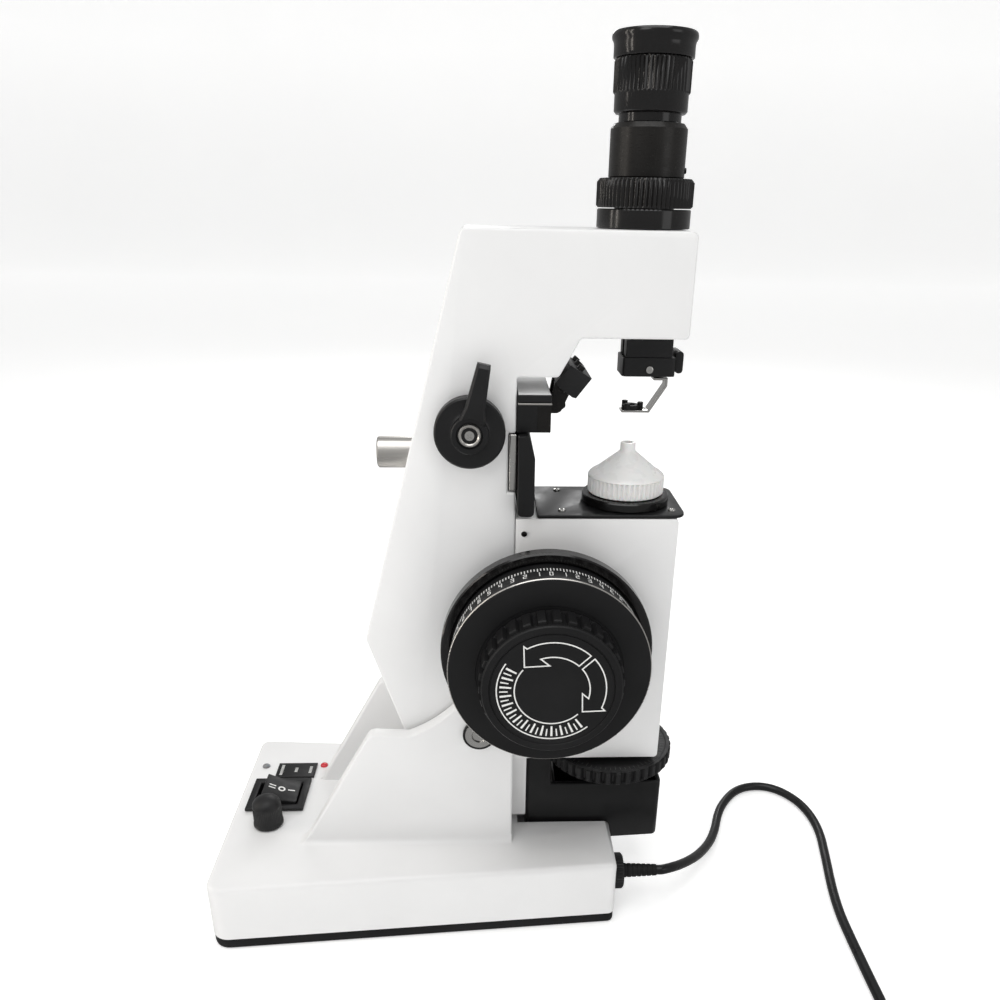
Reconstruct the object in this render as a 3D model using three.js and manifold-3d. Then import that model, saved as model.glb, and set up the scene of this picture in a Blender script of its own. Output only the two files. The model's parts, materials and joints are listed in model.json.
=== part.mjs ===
// Manual lensmeter (focimeter): a bench instrument that measures the power of spectacle lenses.
// Millimetres. +X points away from the operator, +Y to the operator's left, +Z up.
// The origin is the centre of the underside, on the surface that the instrument stands on.

import * as THREE from 'three';
import { mergeVertices } from 'three/addons/utils/BufferGeometryUtils.js';
import Module from 'manifold-3d';

const wasm = await Module();
wasm.setup();

// ---------------------------------------------------------------- driving dimensions

const GAP = 0.3;                       // clearance between pieces that touch

const BASE_LENGTH = 226;
const BASE_FRONT_HALF = 74;            // half width at the operator's end
const BASE_REAR_HALF = 58.5;           // half width at the far end
const BASE_CORNERS = [10, 4, 4, 5];     // near left, near right, far right, far left
const BASE_WALL = 4;
const BASE_TOP = 42;
const PLATE_TOP = 7;                   // top of the black bottom plate
const SLOT_HALF = 19;                  // slot in the base that clears the lamp house
const SLOT_START = 58;

const CHEEK_INNER = 26.2;
const CHEEK_OUTER = 35;
const PIVOT_X = 35.6;
const PIVOT_Z = 115;
const PIVOT_R = 5;

const BODY_HALF = 25.2;                // half width of the column, head and optics box
const COLUMN_FRONT = 54;
const HEAD_BOTTOM = 304.5;
const HEAD_TOP = 368.6;
const HEAD_END = 134;
const HEAD_FLOOR = 322.3;
const WALL = 3.2;

const BOX_START = 54.3;
const BOX_END = 137;
const BOX_BOTTOM = 92;
const BOX_TOP = 235;
const BOX_WALL = 2.2;

const AXIS_X = 112.5;                  // the optical axis, vertical through y = 0
const STOP_TIP = 268.2;                // where a lens rests
const DRUM_X = 70.5;
const DRUM_Z = 169.1;
const LEVER_X = 31.7;
const LEVER_Z = 279.6;
const ROD_Z = 262.3;
const ROD_R = 8;
const MARKER_X = 73.5;
const MARKER_Z = 288.5;

const CORD_R = 2.8;
const COIL_X = 208.4;
const COIL_Y = -176;
const COIL_TURN_OUT = 36.6;            // radius of the outermost turn
const COIL_TURN_IN = 25.4;             // radius of the innermost turn

// ---------------------------------------------------------------- finishes

const finish = (color, roughness, metalness) =>
  new THREE.MeshStandardMaterial({ color, roughness, metalness });

const WHITE = finish(0xe8e7e4, 0.45, 0.0);
const BLACK = finish(0x1b1b1d, 0.5, 0.1);
const BLACK_METAL = finish(0x141416, 0.35, 0.6);
const PLASTIC_BLACK = finish(0x222224, 0.55, 0.0);
const STEEL = finish(0xb9b8b4, 0.3, 1.0);
const IVORY = finish(0xefeee9, 0.4, 0.0);
const RUBBER = finish(0x151515, 0.85, 0.0);
const GLASS = finish(0xcfe3e6, 0.05, 0.0);
const RED = finish(0xc81e2b, 0.3, 0.0);
const GREY = finish(0x8d8f90, 0.3, 0.0);
const GREEN = finish(0x2f6a3b, 0.6, 0.0);

// ---------------------------------------------------------------- solids

function signedVolume(position, triangles) {
  const [a, b, c] = [new THREE.Vector3(), new THREE.Vector3(), new THREE.Vector3()];
  let volume = 0;
  for (let i = 0; i < triangles.length; i += 3) {
    a.fromArray(position, 3 * triangles[i]);
    b.fromArray(position, 3 * triangles[i + 1]);
    c.fromArray(position, 3 * triangles[i + 2]);
    volume += a.dot(b.cross(c)) / 6;
  }
  return volume;
}

// A three.js geometry as a closed solid with its faces pointing out.
function solid(geometry) {
  const bare = geometry.clone();
  bare.deleteAttribute('normal');
  bare.deleteAttribute('uv');
  const merged = mergeVertices(bare, 1e-4);
  const position = merged.attributes.position.array;
  const all = merged.index.array;
  const kept = [];
  for (let i = 0; i < all.length; i += 3) {
    const [a, b, c] = [all[i], all[i + 1], all[i + 2]];
    if (a !== b && b !== c && c !== a) {
      kept.push(a, b, c);
    }
  }
  if (signedVolume(position, kept) < 0) {
    kept.reverse();
  }
  const mesh = new wasm.Mesh({
    numProp: 3,
    vertProperties: Float32Array.from(position),
    triVerts: Uint32Array.from(kept),
  });
  return new wasm.Manifold(mesh);
}

function box([x0, x1], [y0, y1], [z0, z1]) {
  const geometry = new THREE.BoxGeometry(x1 - x0, y1 - y0, z1 - z0);
  geometry.translate((x0 + x1) / 2, (y0 + y1) / 2, (z0 + z1) / 2);
  return solid(geometry);
}

// An outline with every corner rounded to its own radius, or to one radius.
function rounded(points, radius, steps = 5) {
  const corners = points.map(([x, y]) => new THREE.Vector2(x, y));
  const outline = [];
  corners.forEach((corner, i) => {
    const size = Array.isArray(radius) ? radius[i] : radius;
    if (size === 0) {
      outline.push(corner);
      return;
    }
    const before = corners[(i + corners.length - 1) % corners.length].clone().sub(corner).normalize();
    const after = corners[(i + 1) % corners.length].clone().sub(corner).normalize();
    const half = Math.acos(before.dot(after)) / 2;
    const centre = before.clone().add(after).normalize().multiplyScalar(size / Math.sin(half)).add(corner);
    const start = before.clone().multiplyScalar(size / Math.tan(half)).add(corner).sub(centre);
    const end = after.clone().multiplyScalar(size / Math.tan(half)).add(corner).sub(centre);
    const sweep = Math.atan2(start.cross(end), start.dot(end));
    for (let step = 0; step <= steps; step += 1) {
      outline.push(start.clone().rotateAround(new THREE.Vector2(), (sweep * step) / steps).add(centre));
    }
  });
  return outline.map((point) => [point.x, point.y]);
}

// The points between two ends of an arc that bows out to the left of the way from one to the other.
function bowed([x0, y0], [x1, y1], bow, steps) {
  const start = new THREE.Vector2(x0, y0);
  const chord = new THREE.Vector2(x1, y1).sub(start);
  const reach = (bow * bow + chord.lengthSq() / 4) / (2 * bow);
  const left = new THREE.Vector2(-chord.y, chord.x).normalize();
  const centre = chord.clone().multiplyScalar(0.5).add(start).addScaledVector(left, bow - reach);
  const sweep = 2 * Math.asin(chord.length() / (2 * reach));
  const outline = [];
  for (let step = 1; step < steps; step += 1) {
    const point = start.clone().rotateAround(centre, -(sweep * step) / steps);
    outline.push([point.x, point.y]);
  }
  return outline;
}

function extruded(points, depth) {
  const shape = new THREE.Shape(points.map(([x, y]) => new THREE.Vector2(x, y)));
  return new THREE.ExtrudeGeometry(shape, { depth, bevelEnabled: false });
}

// An outline in the XY plane, raised from z0 to z1.
function plan(points, z0, z1) {
  return solid(extruded(points, z1 - z0).translate(0, 0, z0));
}

// An outline in the XZ plane, carried along Y from y0 to y1.
function side(points, y0, y1) {
  return solid(extruded(points, y1 - y0).rotateX(Math.PI / 2).translate(0, y1, 0));
}

// A profile of [radius, height] points turned about Z.
function turned(profile, segments = 32) {
  const points = profile.map(([r, h]) => new THREE.Vector2(r, h));
  return solid(new THREE.LatheGeometry(points, segments).rotateX(Math.PI / 2));
}

const disc = (r, z0, z1, segments) => turned([[0, z0], [r, z0], [r, z1], [0, z1]], segments);

function ring(outer, inner, z0, z1, segments) {
  return turned([[inner, z0], [outer, z0], [outer, z1], [inner, z1], [inner, z0]], segments);
}

// A rod along Y, through the point (x, z).
function rodY(r, x, z, y0, y1, segments = 24) {
  const rod = new THREE.CylinderGeometry(r, r, y1 - y0, segments);
  return solid(rod.translate(x, (y0 + y1) / 2, z));
}

// A rod along X, through the point (y, z).
function rodX(r, y, z, x0, x1, segments = 24) {
  const rod = new THREE.CylinderGeometry(r, r, x1 - x0, segments);
  return solid(rod.rotateZ(Math.PI / 2).translate((x0 + x1) / 2, y, z));
}

// A wheel about Z with square teeth.
function toothed(outer, root, teeth, z0, z1) {
  const points = [];
  for (let tooth = 0; tooth < teeth; tooth += 1) {
    for (const [share, r] of [[0, outer], [0.55, outer], [0.6, root], [0.95, root]]) {
      const angle = (2 * Math.PI * (tooth + share)) / teeth;
      points.push([r * Math.cos(angle), r * Math.sin(angle)]);
    }
  }
  return plan(points, z0, z1);
}

// ---------------------------------------------------------------- placing

const lensmeter = new THREE.Group();

function group(x, y, z, turnX = 0) {
  const place = new THREE.Group();
  place.position.set(x, y, z);
  place.rotation.x = turnX;
  lensmeter.add(place);
  return place;
}

function add(place, name, shape, material) {
  const { vertProperties, triVerts } = shape.getMesh();
  const geometry = new THREE.BufferGeometry();
  geometry.setAttribute('position', new THREE.BufferAttribute(vertProperties, 3));
  geometry.setIndex(new THREE.BufferAttribute(triVerts, 1));
  geometry.computeVertexNormals();
  const mesh = new THREE.Mesh(geometry, material);
  mesh.name = name;
  place.add(mesh);
}

// ---------------------------------------------------------------- base

function baseOutline(inset) {
  const x0 = -BASE_LENGTH / 2 + inset;
  const x1 = BASE_LENGTH / 2 - inset;
  const y0 = BASE_FRONT_HALF - inset;
  const y1 = BASE_REAR_HALF - inset;
  const radii = BASE_CORNERS.map((radius) => Math.max(radius - inset, 0.5));
  return rounded([[x0, -y0], [x1, -y1], [x1, y1], [x0, y0]], radii);
}

const ROCKER_X = -88.8;
const ROCKER_Y = 10;
const DIMMER_X = -89.3;
const DIMMER_Y = -17;
const DIMMER_R = 8.6;
const LED_GREY = [-103.5, 41.6];
const LED_RED = [-66.2, 42.1];
const GLAND_Y = -44;
const GLAND_Z = 26;

function baseShell() {
  const end = BASE_LENGTH / 2;
  const slotWall = box(
    [SLOT_START - BASE_WALL, end + 1],
    [-SLOT_HALF - BASE_WALL, SLOT_HALF + BASE_WALL],
    [24 - BASE_WALL, BASE_TOP + 1],
  );
  const slot = box([SLOT_START, end + 5], [-SLOT_HALF, SLOT_HALF], [24, BASE_TOP + 5]);
  const room = plan(baseOutline(BASE_WALL), 0, BASE_TOP - BASE_WALL).subtract(slotWall);
  let shell = plan(baseOutline(0), PLATE_TOP + GAP, BASE_TOP).subtract(room).subtract(slot);
  shell = shell.subtract(box([ROCKER_X - 15, ROCKER_X + 15], [ROCKER_Y - 13, ROCKER_Y + 13], [30, 50]));
  shell = shell.subtract(disc(3.6, 30, 50, 20).translate(DIMMER_X, DIMMER_Y, 0));
  for (const [x, y] of [LED_GREY, LED_RED]) {
    shell = shell.subtract(disc(1.8, 30, 50, 16).translate(x, y, 0));
  }
  return shell.subtract(rodX(5.3, GLAND_Y, GLAND_Z, end - 10, end + 5));
}

// One of the two walls that carry the body: the back edge slopes, and the top rises in a hollow curve.
function cheek(y0, y1) {
  const foot = BASE_TOP + GAP;
  const corners = [[COLUMN_FRONT, foot], [COLUMN_FRONT, 155], [39, 155], [30.7, 142.4]];
  const crest = rounded(corners, [0, 0, 10, 0], 3);
  const heel = rounded([[-3.3, 113], [-24.4, 114.2], [-65, foot]], [0, 6, 0], 4);
  const outline = [...crest, ...bowed([30.7, 142.4], [-3.3, 113], 3.9, 6), ...heel];
  return side(outline, y0, y1).subtract(rodY(PIVOT_R + GAP, PIVOT_X, PIVOT_Z, y0 - 1, y1 + 1));
}

function addBase() {
  const base = group(0, 0, 0);
  add(base, 'bottom_plate', plan(baseOutline(0.3), 0, PLATE_TOP), RUBBER);
  add(base, 'base_shell', baseShell(), WHITE);
  add(base, 'near_cheek', cheek(-CHEEK_OUTER, -CHEEK_INNER), WHITE);
  add(base, 'far_cheek', cheek(CHEEK_INNER, CHEEK_OUTER), WHITE);
  add(base, 'power_board', powerBoard(), GREEN);
}

function powerBoard() {
  const board = box([-60, 40], [-32, 32], [12, 13.6]);
  const transformer = box([-10, 28], [-16, 16], [13.5, 17]);
  const capacitor = disc(6, 13.5, 17, 16).translate(-35, 12, 0);
  return board.add(transformer).add(capacitor);
}

function addPivot() {
  const base = group(0, 0, 0);
  add(base, 'pivot_shaft', rodY(PIVOT_R, PIVOT_X, PIVOT_Z, -CHEEK_OUTER, CHEEK_OUTER), STEEL);
  for (const [name, turn] of [['near_pivot_cap', 1], ['far_pivot_cap', -1]]) {
    const place = group(PIVOT_X, 0, PIVOT_Z, (turn * Math.PI) / 2);
    const profile = [
      [0, CHEEK_OUTER + GAP],
      [9, CHEEK_OUTER + GAP],
      [9, CHEEK_OUTER + 1.4],
      [5.5, CHEEK_OUTER + 2.6],
      [0, CHEEK_OUTER + 2.6],
    ];
    add(place, name, turned(profile, 28), STEEL);
  }
}

// ---------------------------------------------------------------- switch panel on the base

const ROCKER_HALF_X = 11.5;
const ROCKER_HALF_Y = 10.6;
const ROCKER_AXIS_Z = 40.5;
const ROCKER_TILT = 17;

function rockerFrame() {
  const top = BASE_TOP + GAP + 2;
  let frame = box([ROCKER_X - 17.4, ROCKER_X + 17.4], [ROCKER_Y - 15.9, ROCKER_Y + 15.9],
    [BASE_TOP + GAP, top]);
  const housing = box([ROCKER_X - 14.5, ROCKER_X + 14.5], [ROCKER_Y - 12.5, ROCKER_Y + 12.5],
    [22, top - 0.5]);
  frame = frame.add(housing);
  return frame.subtract(box([ROCKER_X - 13, ROCKER_X + 13], [ROCKER_Y - 11, ROCKER_Y + 11], [30, top + 5]));
}

// A rocker whose top is a shallow V, at rest with the operator's side up.
function rocker() {
  const outline = [
    [-ROCKER_HALF_X, -3],
    [-4, -6.5],
    [4, -6.5],
    [ROCKER_HALF_X, -3],
    [10.6, 8.2],
    [0, 6.8],
    [-10.6, 8.2],
  ];
  const rest = new THREE.Matrix4().makeRotationY((ROCKER_TILT * Math.PI) / 180);
  const shape = extruded(outline, 2 * ROCKER_HALF_Y).rotateX(Math.PI / 2).translate(0, ROCKER_HALF_Y, 0);
  return solid(shape.applyMatrix4(rest));
}

function brightnessKnob() {
  const bottom = BASE_TOP + 0.6;
  const shoulder = bottom + 13;
  const profile = [[0, bottom], [DIMMER_R, bottom], [DIMMER_R, shoulder]];
  for (let step = 1; step <= 4; step += 1) {
    const angle = (step * Math.PI) / 8;
    profile.push([DIMMER_R * Math.cos(angle), shoulder + 6 * Math.sin(angle)]);
  }
  const shaft = disc(3, 28, bottom + 1, 16);
  return turned(profile, 24).add(shaft);
}

function led() {
  const profile = [[0, 32], [1.5, 32], [1.5, 42.3], [2.4, 42.3], [2.2, 43], [1.3, 43.6], [0, 43.8]];
  return turned(profile, 16);
}

function addSwitchPanel() {
  const panel = group(0, 0, 0);
  add(panel, 'rocker_frame', rockerFrame(), PLASTIC_BLACK);
  const label = box([-95.2, -70.5], [28, 43.4], [BASE_TOP + GAP, BASE_TOP + 1.4]);
  add(panel, 'label_plate', label, PLASTIC_BLACK);
  add(group(ROCKER_X, ROCKER_Y, ROCKER_AXIS_Z), 'rocker', rocker(), PLASTIC_BLACK);
  add(group(DIMMER_X, DIMMER_Y, 0), 'brightness_knob', brightnessKnob(), PLASTIC_BLACK);
  add(group(...LED_GREY, 0), 'grey_led', led(), GREY);
  add(group(...LED_RED, 0), 'red_led', led(), RED);
}

// ---------------------------------------------------------------- mains lead

const GLAND_START = BASE_LENGTH / 2 + GAP;
const GLAND_FACE = 118.5;
const RELIEF_END = 138.5;

function gland() {
  const profile = [
    [0, 106],
    [5, 106],
    [5, GLAND_START],
    [10.2, GLAND_START],
    [10.2, GLAND_FACE - 1],
    [9.2, GLAND_FACE],
    [4.2, GLAND_FACE],
    [3.3, RELIEF_END],
    [0, RELIEF_END],
  ];
  const points = profile.map(([r, h]) => new THREE.Vector2(r, h));
  return solid(new THREE.LatheGeometry(points, 24).rotateZ(-Math.PI / 2).translate(0, GLAND_Y, GLAND_Z));
}

// Where the lead runs: out of the relief, down to the surface, round a loop and on to the coil.
const CORD_ROUTE = [
  [RELIEF_END + GAP, GLAND_Y, GLAND_Z],
  [142, GLAND_Y, GLAND_Z],
  [148.5, -40.6, 24.6],
  [156, -34, 21.2],
  [164, -25.4, 17.2],
  [171.4, -15.6, 12.9],
  [178.6, -4.5, 8.8],
  [185.4, 7.6, 5.4],
  [191.3, 20.5, 3.4],
  [196, 33, CORD_R],
  [201, 43.5, CORD_R],
  [207.5, 53, CORD_R],
  [215, 61, CORD_R],
  [224, 66, CORD_R],
  [234.6, 67.2, CORD_R],
  [244, 64, CORD_R],
  [251.5, 57, CORD_R],
  [257, 47.5, CORD_R],
  [260, 36, CORD_R],
  [260.8, 24, CORD_R],
  [259.8, 11.7, CORD_R],
  [257.5, -0.5, CORD_R],
  [254.5, -15, CORD_R],
  [251.3, -30, CORD_R],
  [248.6, -45, CORD_R],
  [246.8, -60, CORD_R],
  [246.1, -75, CORD_R],
  [245.7, -90, CORD_R],
  [245.4, -105, CORD_R],
  [245.2, -120, CORD_R],
  [245, -135, CORD_R],
  [245, -150, CORD_R],
  [COIL_X + COIL_TURN_OUT, COIL_Y + 0.3, CORD_R],
];

function cordRun() {
  const path = new THREE.CatmullRomCurve3(CORD_ROUTE.map((point) => new THREE.Vector3(...point)));
  const section = new THREE.Shape();
  section.absarc(0, 0, CORD_R, 0, 2 * Math.PI);
  return solid(new THREE.ExtrudeGeometry(section, { steps: 34, curveSegments: 4, extrudePath: path }));
}

// The outer shape of the coil, with the run's end lying against a notch in its outer turn.
function cordCoil() {
  const coil = ring(COIL_TURN_OUT + CORD_R, COIL_TURN_IN - CORD_R, 0.05, 4 * CORD_R, 40);
  const entry = box([COIL_TURN_OUT - CORD_R - 1, 42], [0, 45], [-1, 2 * CORD_R + 0.5]);
  return coil.subtract(entry);
}

const PLUG_Z = 8.4;
const PLUG_TAIL = 185.6;               // where the plug's relief meets the coil

function mainsPlug() {
  const tail = [[0, 0], [3.8, 0], [5.2, 20], [0, 20]].map(([r, h]) => new THREE.Vector2(r, h));
  const relief = solid(new THREE.LatheGeometry(tail, 16).rotateZ(Math.PI / 2));
  const outline = [[-58, -8.5], [-36, -13], [-19, -9], [-19, 9], [-36, 13], [-58, 8.5]];
  const grip = plan(rounded(outline, 3), -8, 8);
  let plug = relief.add(grip);
  for (const y of [-6.3, 6.3]) {
    plug = plug.add(rodX(2, y, 0, -76, -56, 12));
  }
  return plug;
}

function addMainsLead() {
  add(group(0, 0, 0), 'cord_gland', gland(), PLASTIC_BLACK);
  add(group(0, 0, 0), 'cord_run', cordRun(), RUBBER);
  add(group(COIL_X, COIL_Y, 0), 'cord_coil', cordCoil(), RUBBER);
  add(group(PLUG_TAIL, COIL_Y - COIL_TURN_OUT, PLUG_Z), 'mains_plug', mainsPlug(), PLASTIC_BLACK);
}

// ---------------------------------------------------------------- column, head and optics box

// The x of the column's sloping back edge at a height.
const backEdge = (z) => -24.2 + 0.261 * (z - 167.6);

const RECESS_BOTTOM = 248.8;
const RECESS_TOP = 278.2;
const RECESS_X = 50.2;

function column() {
  const top = HEAD_BOTTOM - GAP;
  const outline = [
    [backEdge(top), top],
    [-24.2, 167.6],
    [-5.8, 110.2],
    [0.2, BOX_BOTTOM],
    [COLUMN_FRONT, BOX_BOTTOM],
    [COLUMN_FRONT, RECESS_BOTTOM],
    [RECESS_X, RECESS_BOTTOM],
    [RECESS_X, RECESS_TOP],
    [COLUMN_FRONT, RECESS_TOP],
    [COLUMN_FRONT, top],
  ];
  const room = [
    [backEdge(320) + WALL, 320],
    [-20.8, 167.6],
    [-2.4, 111],
    [2.5, BOX_BOTTOM + WALL],
    [COLUMN_FRONT - WALL, BOX_BOTTOM + WALL],
    [COLUMN_FRONT - WALL, 244],
    [RECESS_X - WALL, 246],
    [RECESS_X - WALL, 281.5],
    [COLUMN_FRONT - WALL, 283],
    [COLUMN_FRONT - WALL, 320],
  ];
  const inside = BODY_HALF - WALL;
  let shell = side(outline, -BODY_HALF, BODY_HALF).subtract(side(room, -inside, inside));
  shell = shell.subtract(box([45, 60], [-19, 19], [100, 228]));
  const neck = box([24, 62.7], [-18.5, 18.5], [47, BOX_BOTTOM - GAP]);
  shell = shell.add(neck.add(box([24, 50], [-18.5, 18.5], [80, BOX_BOTTOM + 1])));
  shell = shell.subtract(rodY(PIVOT_R + GAP, PIVOT_X, PIVOT_Z, -40, 40));
  shell = shell.subtract(rodX(ROD_R + GAP, 0, ROD_Z, -20, 60));
  return shell.subtract(rodY(4 + GAP, LEVER_X, LEVER_Z, -40, -15));
}

function head() {
  const outline = rounded(
    [
      [backEdge(HEAD_BOTTOM), HEAD_BOTTOM],
      [73.6, HEAD_BOTTOM],
      [83.6, HEAD_FLOOR],
      [HEAD_END, HEAD_FLOOR],
      [HEAD_END, HEAD_TOP],
      [backEdge(HEAD_TOP), HEAD_TOP],
    ],
    [0, 0, 0, 1.5, 4, 2],
    3,
  );
  const room = [
    [backEdge(HEAD_BOTTOM - 5) + WALL, HEAD_BOTTOM - 5],
    [COLUMN_FRONT - WALL, HEAD_BOTTOM - 5],
    [COLUMN_FRONT - WALL, HEAD_BOTTOM + WALL],
    [71.7, HEAD_BOTTOM + WALL],
    [81.7, HEAD_FLOOR + WALL],
    [HEAD_END - WALL, HEAD_FLOOR + WALL],
    [HEAD_END - WALL, HEAD_TOP - WALL],
    [backEdge(HEAD_TOP) + WALL, HEAD_TOP - WALL],
  ];
  const inside = BODY_HALF - WALL;
  let shell = side(outline, -BODY_HALF, BODY_HALF).subtract(side(room, -inside, inside));
  shell = shell.subtract(disc(14, HEAD_TOP - 10, HEAD_TOP + 5).translate(AXIS_X, 0, 0));
  shell = shell.subtract(disc(9, HEAD_FLOOR - 5, HEAD_FLOOR + 6, 28).translate(AXIS_X, 0, 0));
  return shell.subtract(disc(2.4, HEAD_FLOOR - 5, HEAD_FLOOR + 6, 16).translate(SLIDER_X, 0, 0));
}

function opticsBox() {
  const outline = rounded(
    [[BOX_START, BOX_BOTTOM], [BOX_END, BOX_BOTTOM], [BOX_END, BOX_TOP], [BOX_START, BOX_TOP]],
    [0, 2, 2, 0],
    3,
  );
  const inside = BODY_HALF - BOX_WALL;
  const room = box([40, BOX_END - BOX_WALL], [-inside, inside], [BOX_BOTTOM + BOX_WALL, BOX_TOP - BOX_WALL]);
  let shell = side(outline, -BODY_HALF, BODY_HALF).subtract(room);
  shell = shell.subtract(disc(15, BOX_TOP - 5, BOX_TOP + 5).translate(AXIS_X, 0, 0));
  shell = shell.subtract(disc(14, BOX_BOTTOM - 5, BOX_BOTTOM + 5).translate(AXIS_X, 0, 0));
  return shell.subtract(rodY(9.3, DRUM_X, DRUM_Z, -40, -15));
}

function addBody() {
  const body = group(0, 0, 0);
  add(body, 'column', column(), WHITE);
  add(body, 'head', head(), WHITE);
  add(body, 'optics_box', opticsBox(), WHITE);
}

// ---------------------------------------------------------------- lens stop and collimator

function addLensStop() {
  const half = BODY_HALF;
  const plateOutline = rounded([[65.2, -half], [140.5, -half], [140.5, half], [65.2, half]], [1, 7, 7, 1]);
  const plate = plan(plateOutline, BOX_TOP + GAP, BOX_TOP + 1.9);
  add(group(0, 0, 0), 'stop_plate', plate.subtract(disc(15, 200, 250).translate(AXIS_X, 0, 0)), BLACK);

  const onAxis = group(AXIS_X, 0, 0);
  const tube = [
    [11.5, 222],
    [14.7, 222],
    [14.7, 237.2],
    [22.7, 237.2],
    [22.7, 241.5],
    [22.2, 242],
    [11.5, 242],
    [11.5, 222],
  ];
  add(onAxis, 'stop_ring', turned(tube), BLACK_METAL);
  add(onAxis, 'collimator_lens', disc(11.2, 224, 228, 28), GLASS);
  const nose = [
    [12, 242.3],
    [19.8, 242.3],
    [19.8, 251.5],
    [19.1, 252.4],
    [11.4, 256.4],
    [4, 264],
    [3.8, STOP_TIP],
    [1.7, STOP_TIP],
    [1.7, 262],
    [9, 254],
    [12, 250],
    [12, 242.3],
  ];
  add(onAxis, 'lens_stop', turned(nose), IVORY);
}

// ---------------------------------------------------------------- target and its drive

const RACK_X = DRUM_X + 8.7;

function targetCarriage() {
  const rack = box([RACK_X, RACK_X + 3.3], [-4, 4], [144, 194]);
  const arm = box([RACK_X + 2, AXIS_X - 11], [-4, 4], [164, 170]);
  return rack.add(arm).add(ring(13, 9.5, 164, 170, 32).translate(AXIS_X, 0, 0));
}

function addTarget() {
  add(group(0, 0, 0), 'target_carriage', targetCarriage(), BLACK_METAL);
  add(group(AXIS_X, 0, 0), 'target_glass', disc(9.2, 165.5, 168.5, 28), GLASS);
}

// The drum is turned about Z and laid over, so that a height here is a distance to the operator's right.
function addPowerDrum() {
  const drum = group(DRUM_X, 0, DRUM_Z, Math.PI / 2);
  const shroud = [
    [9.3, BODY_HALF + GAP],
    [14, BODY_HALF + GAP],
    [14, 36.4],
    [54.5, 36.4],
    [54.5, 43.6],
    [54, 44],
    [49.7, 44],
    [49.7, 41],
    [9.3, 41],
    [9.3, BODY_HALF + GAP],
  ];
  add(drum, 'drum_shroud', turned(shroud, 40), BLACK);
  const scale = [[0, 6], [9, 6], [9, 41.4], [49, 41.4], [49, 61.7], [0, 61.7]];
  add(drum, 'scale_drum', turned(scale, 40), BLACK);
  const face = [[0, 62], [50.5, 62], [50.5, 65.2], [49.6, 66], [0, 66]];
  add(drum, 'drum_face', turned(face, 40), BLACK);
  const cap = [[0, 75], [33.5, 75], [34, 80], [33.2, 82.4], [31.5, 82.8], [0, 82.8]];
  add(drum, 'drum_knob', toothed(35.3, 33.2, 24, 66.3, 79).add(turned(cap, 36)), PLASTIC_BLACK);
  add(drum, 'drum_pinion', toothed(8.3, 7.2, 12, -4, 5.7), STEEL);
}

// ---------------------------------------------------------------- lamp house and axis wheel

const LAMP_BOTTOM = 28;
const LAMP_RIM = 68;
const LAMP_HALF = 17;

function lampHouse() {
  const tray = plan(
    rounded([[63, -LAMP_HALF], [115, -LAMP_HALF], [143.5, -LAMP_HALF + 2], [143.5, LAMP_HALF - 2],
      [115, LAMP_HALF], [63, LAMP_HALF]], [0, 0, 3, 3, 0, 0], 3),
    LAMP_BOTTOM,
    LAMP_RIM,
  );
  const post = box([63, 77.5], [-LAMP_HALF, LAMP_HALF], [LAMP_RIM - 1, BOX_BOTTOM - GAP]);
  const room = box([80, 140.5], [-LAMP_HALF + 3, LAMP_HALF - 3], [LAMP_BOTTOM + 3, 100]);
  const wheelRoom = disc(38.3, 79, 100, 40).translate(AXIS_X, 0, 0);
  const socket = disc(6, LAMP_BOTTOM + 1, 44, 20).translate(AXIS_X, 0, 0);
  return tray.add(post).subtract(room).subtract(wheelRoom).add(socket);
}

function addLamp() {
  add(group(0, 0, 0), 'lamp_house', lampHouse(), BLACK);
  const onAxis = group(AXIS_X, 0, 0);
  const bulb = [[0, 44.3], [3.5, 44.3], [3.5, 48], [5.5, 52], [5.5, 56], [3, 60], [0, 61]];
  add(onAxis, 'lamp_bulb', turned(bulb, 20), GLASS);
  const wheel = toothed(37, 34.8, 40, 81, 89).add(disc(13, 84, 112, 24));
  add(onAxis, 'axis_wheel', wheel.subtract(disc(10.5, 70, 120, 24)), PLASTIC_BLACK);
}

// ---------------------------------------------------------------- lens table and its lever

function addLensTable() {
  const table = rounded(
    [[54.9, 238.3], [63, 238.3], [63, 267.5], [60.2, 278.2], [54.9, 278.2]],
    [2, 2, 1, 2, 1],
    3,
  );
  add(group(0, 0, 0), 'lens_table', side(table, -32, 32), BLACK);
  const plate = box([RECESS_X + 0.4, 54.6], [-BODY_HALF, BODY_HALF],
    [RECESS_BOTTOM + 0.5, RECESS_TOP - 0.5]);
  add(group(0, 0, 0), 'table_carriage', plate, STEEL);
  add(group(0, 0, 0), 'guide_rod', rodX(ROD_R, 0, ROD_Z, -15.5, RECESS_X + 0.1, 28), STEEL);
}

function leverHandle() {
  const outline = [[-8, 0], [8, 0], [4.2, 18], [3, 33.5], [-3, 33.5], [-4.2, 18]];
  const tilt = (12 * Math.PI) / 180;
  return plan(rounded(outline, [0, 0, 0, 1, 1, 0], 2), 33, 40).rotate([0, 0, (-tilt * 180) / Math.PI]);
}

function addTableLever() {
  const lever = group(LEVER_X, 0, LEVER_Z, Math.PI / 2);
  const hub = [[0, 5.8], [4, 5.8], [4, 25.6], [17, 25.6], [17, 32.2], [16.2, 33.2], [9.4, 33.2],
    [9, 37.5], [0, 37.5]];
  add(lever, 'table_lever', turned(hub, 36).add(leverHandle()), PLASTIC_BLACK);
  add(lever, 'lever_pinion', toothed(8.9, 7.6, 13, -5.5, 5.5), STEEL);
}

// ---------------------------------------------------------------- lens retainer under the head

const SLIDER_X = 126;

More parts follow.
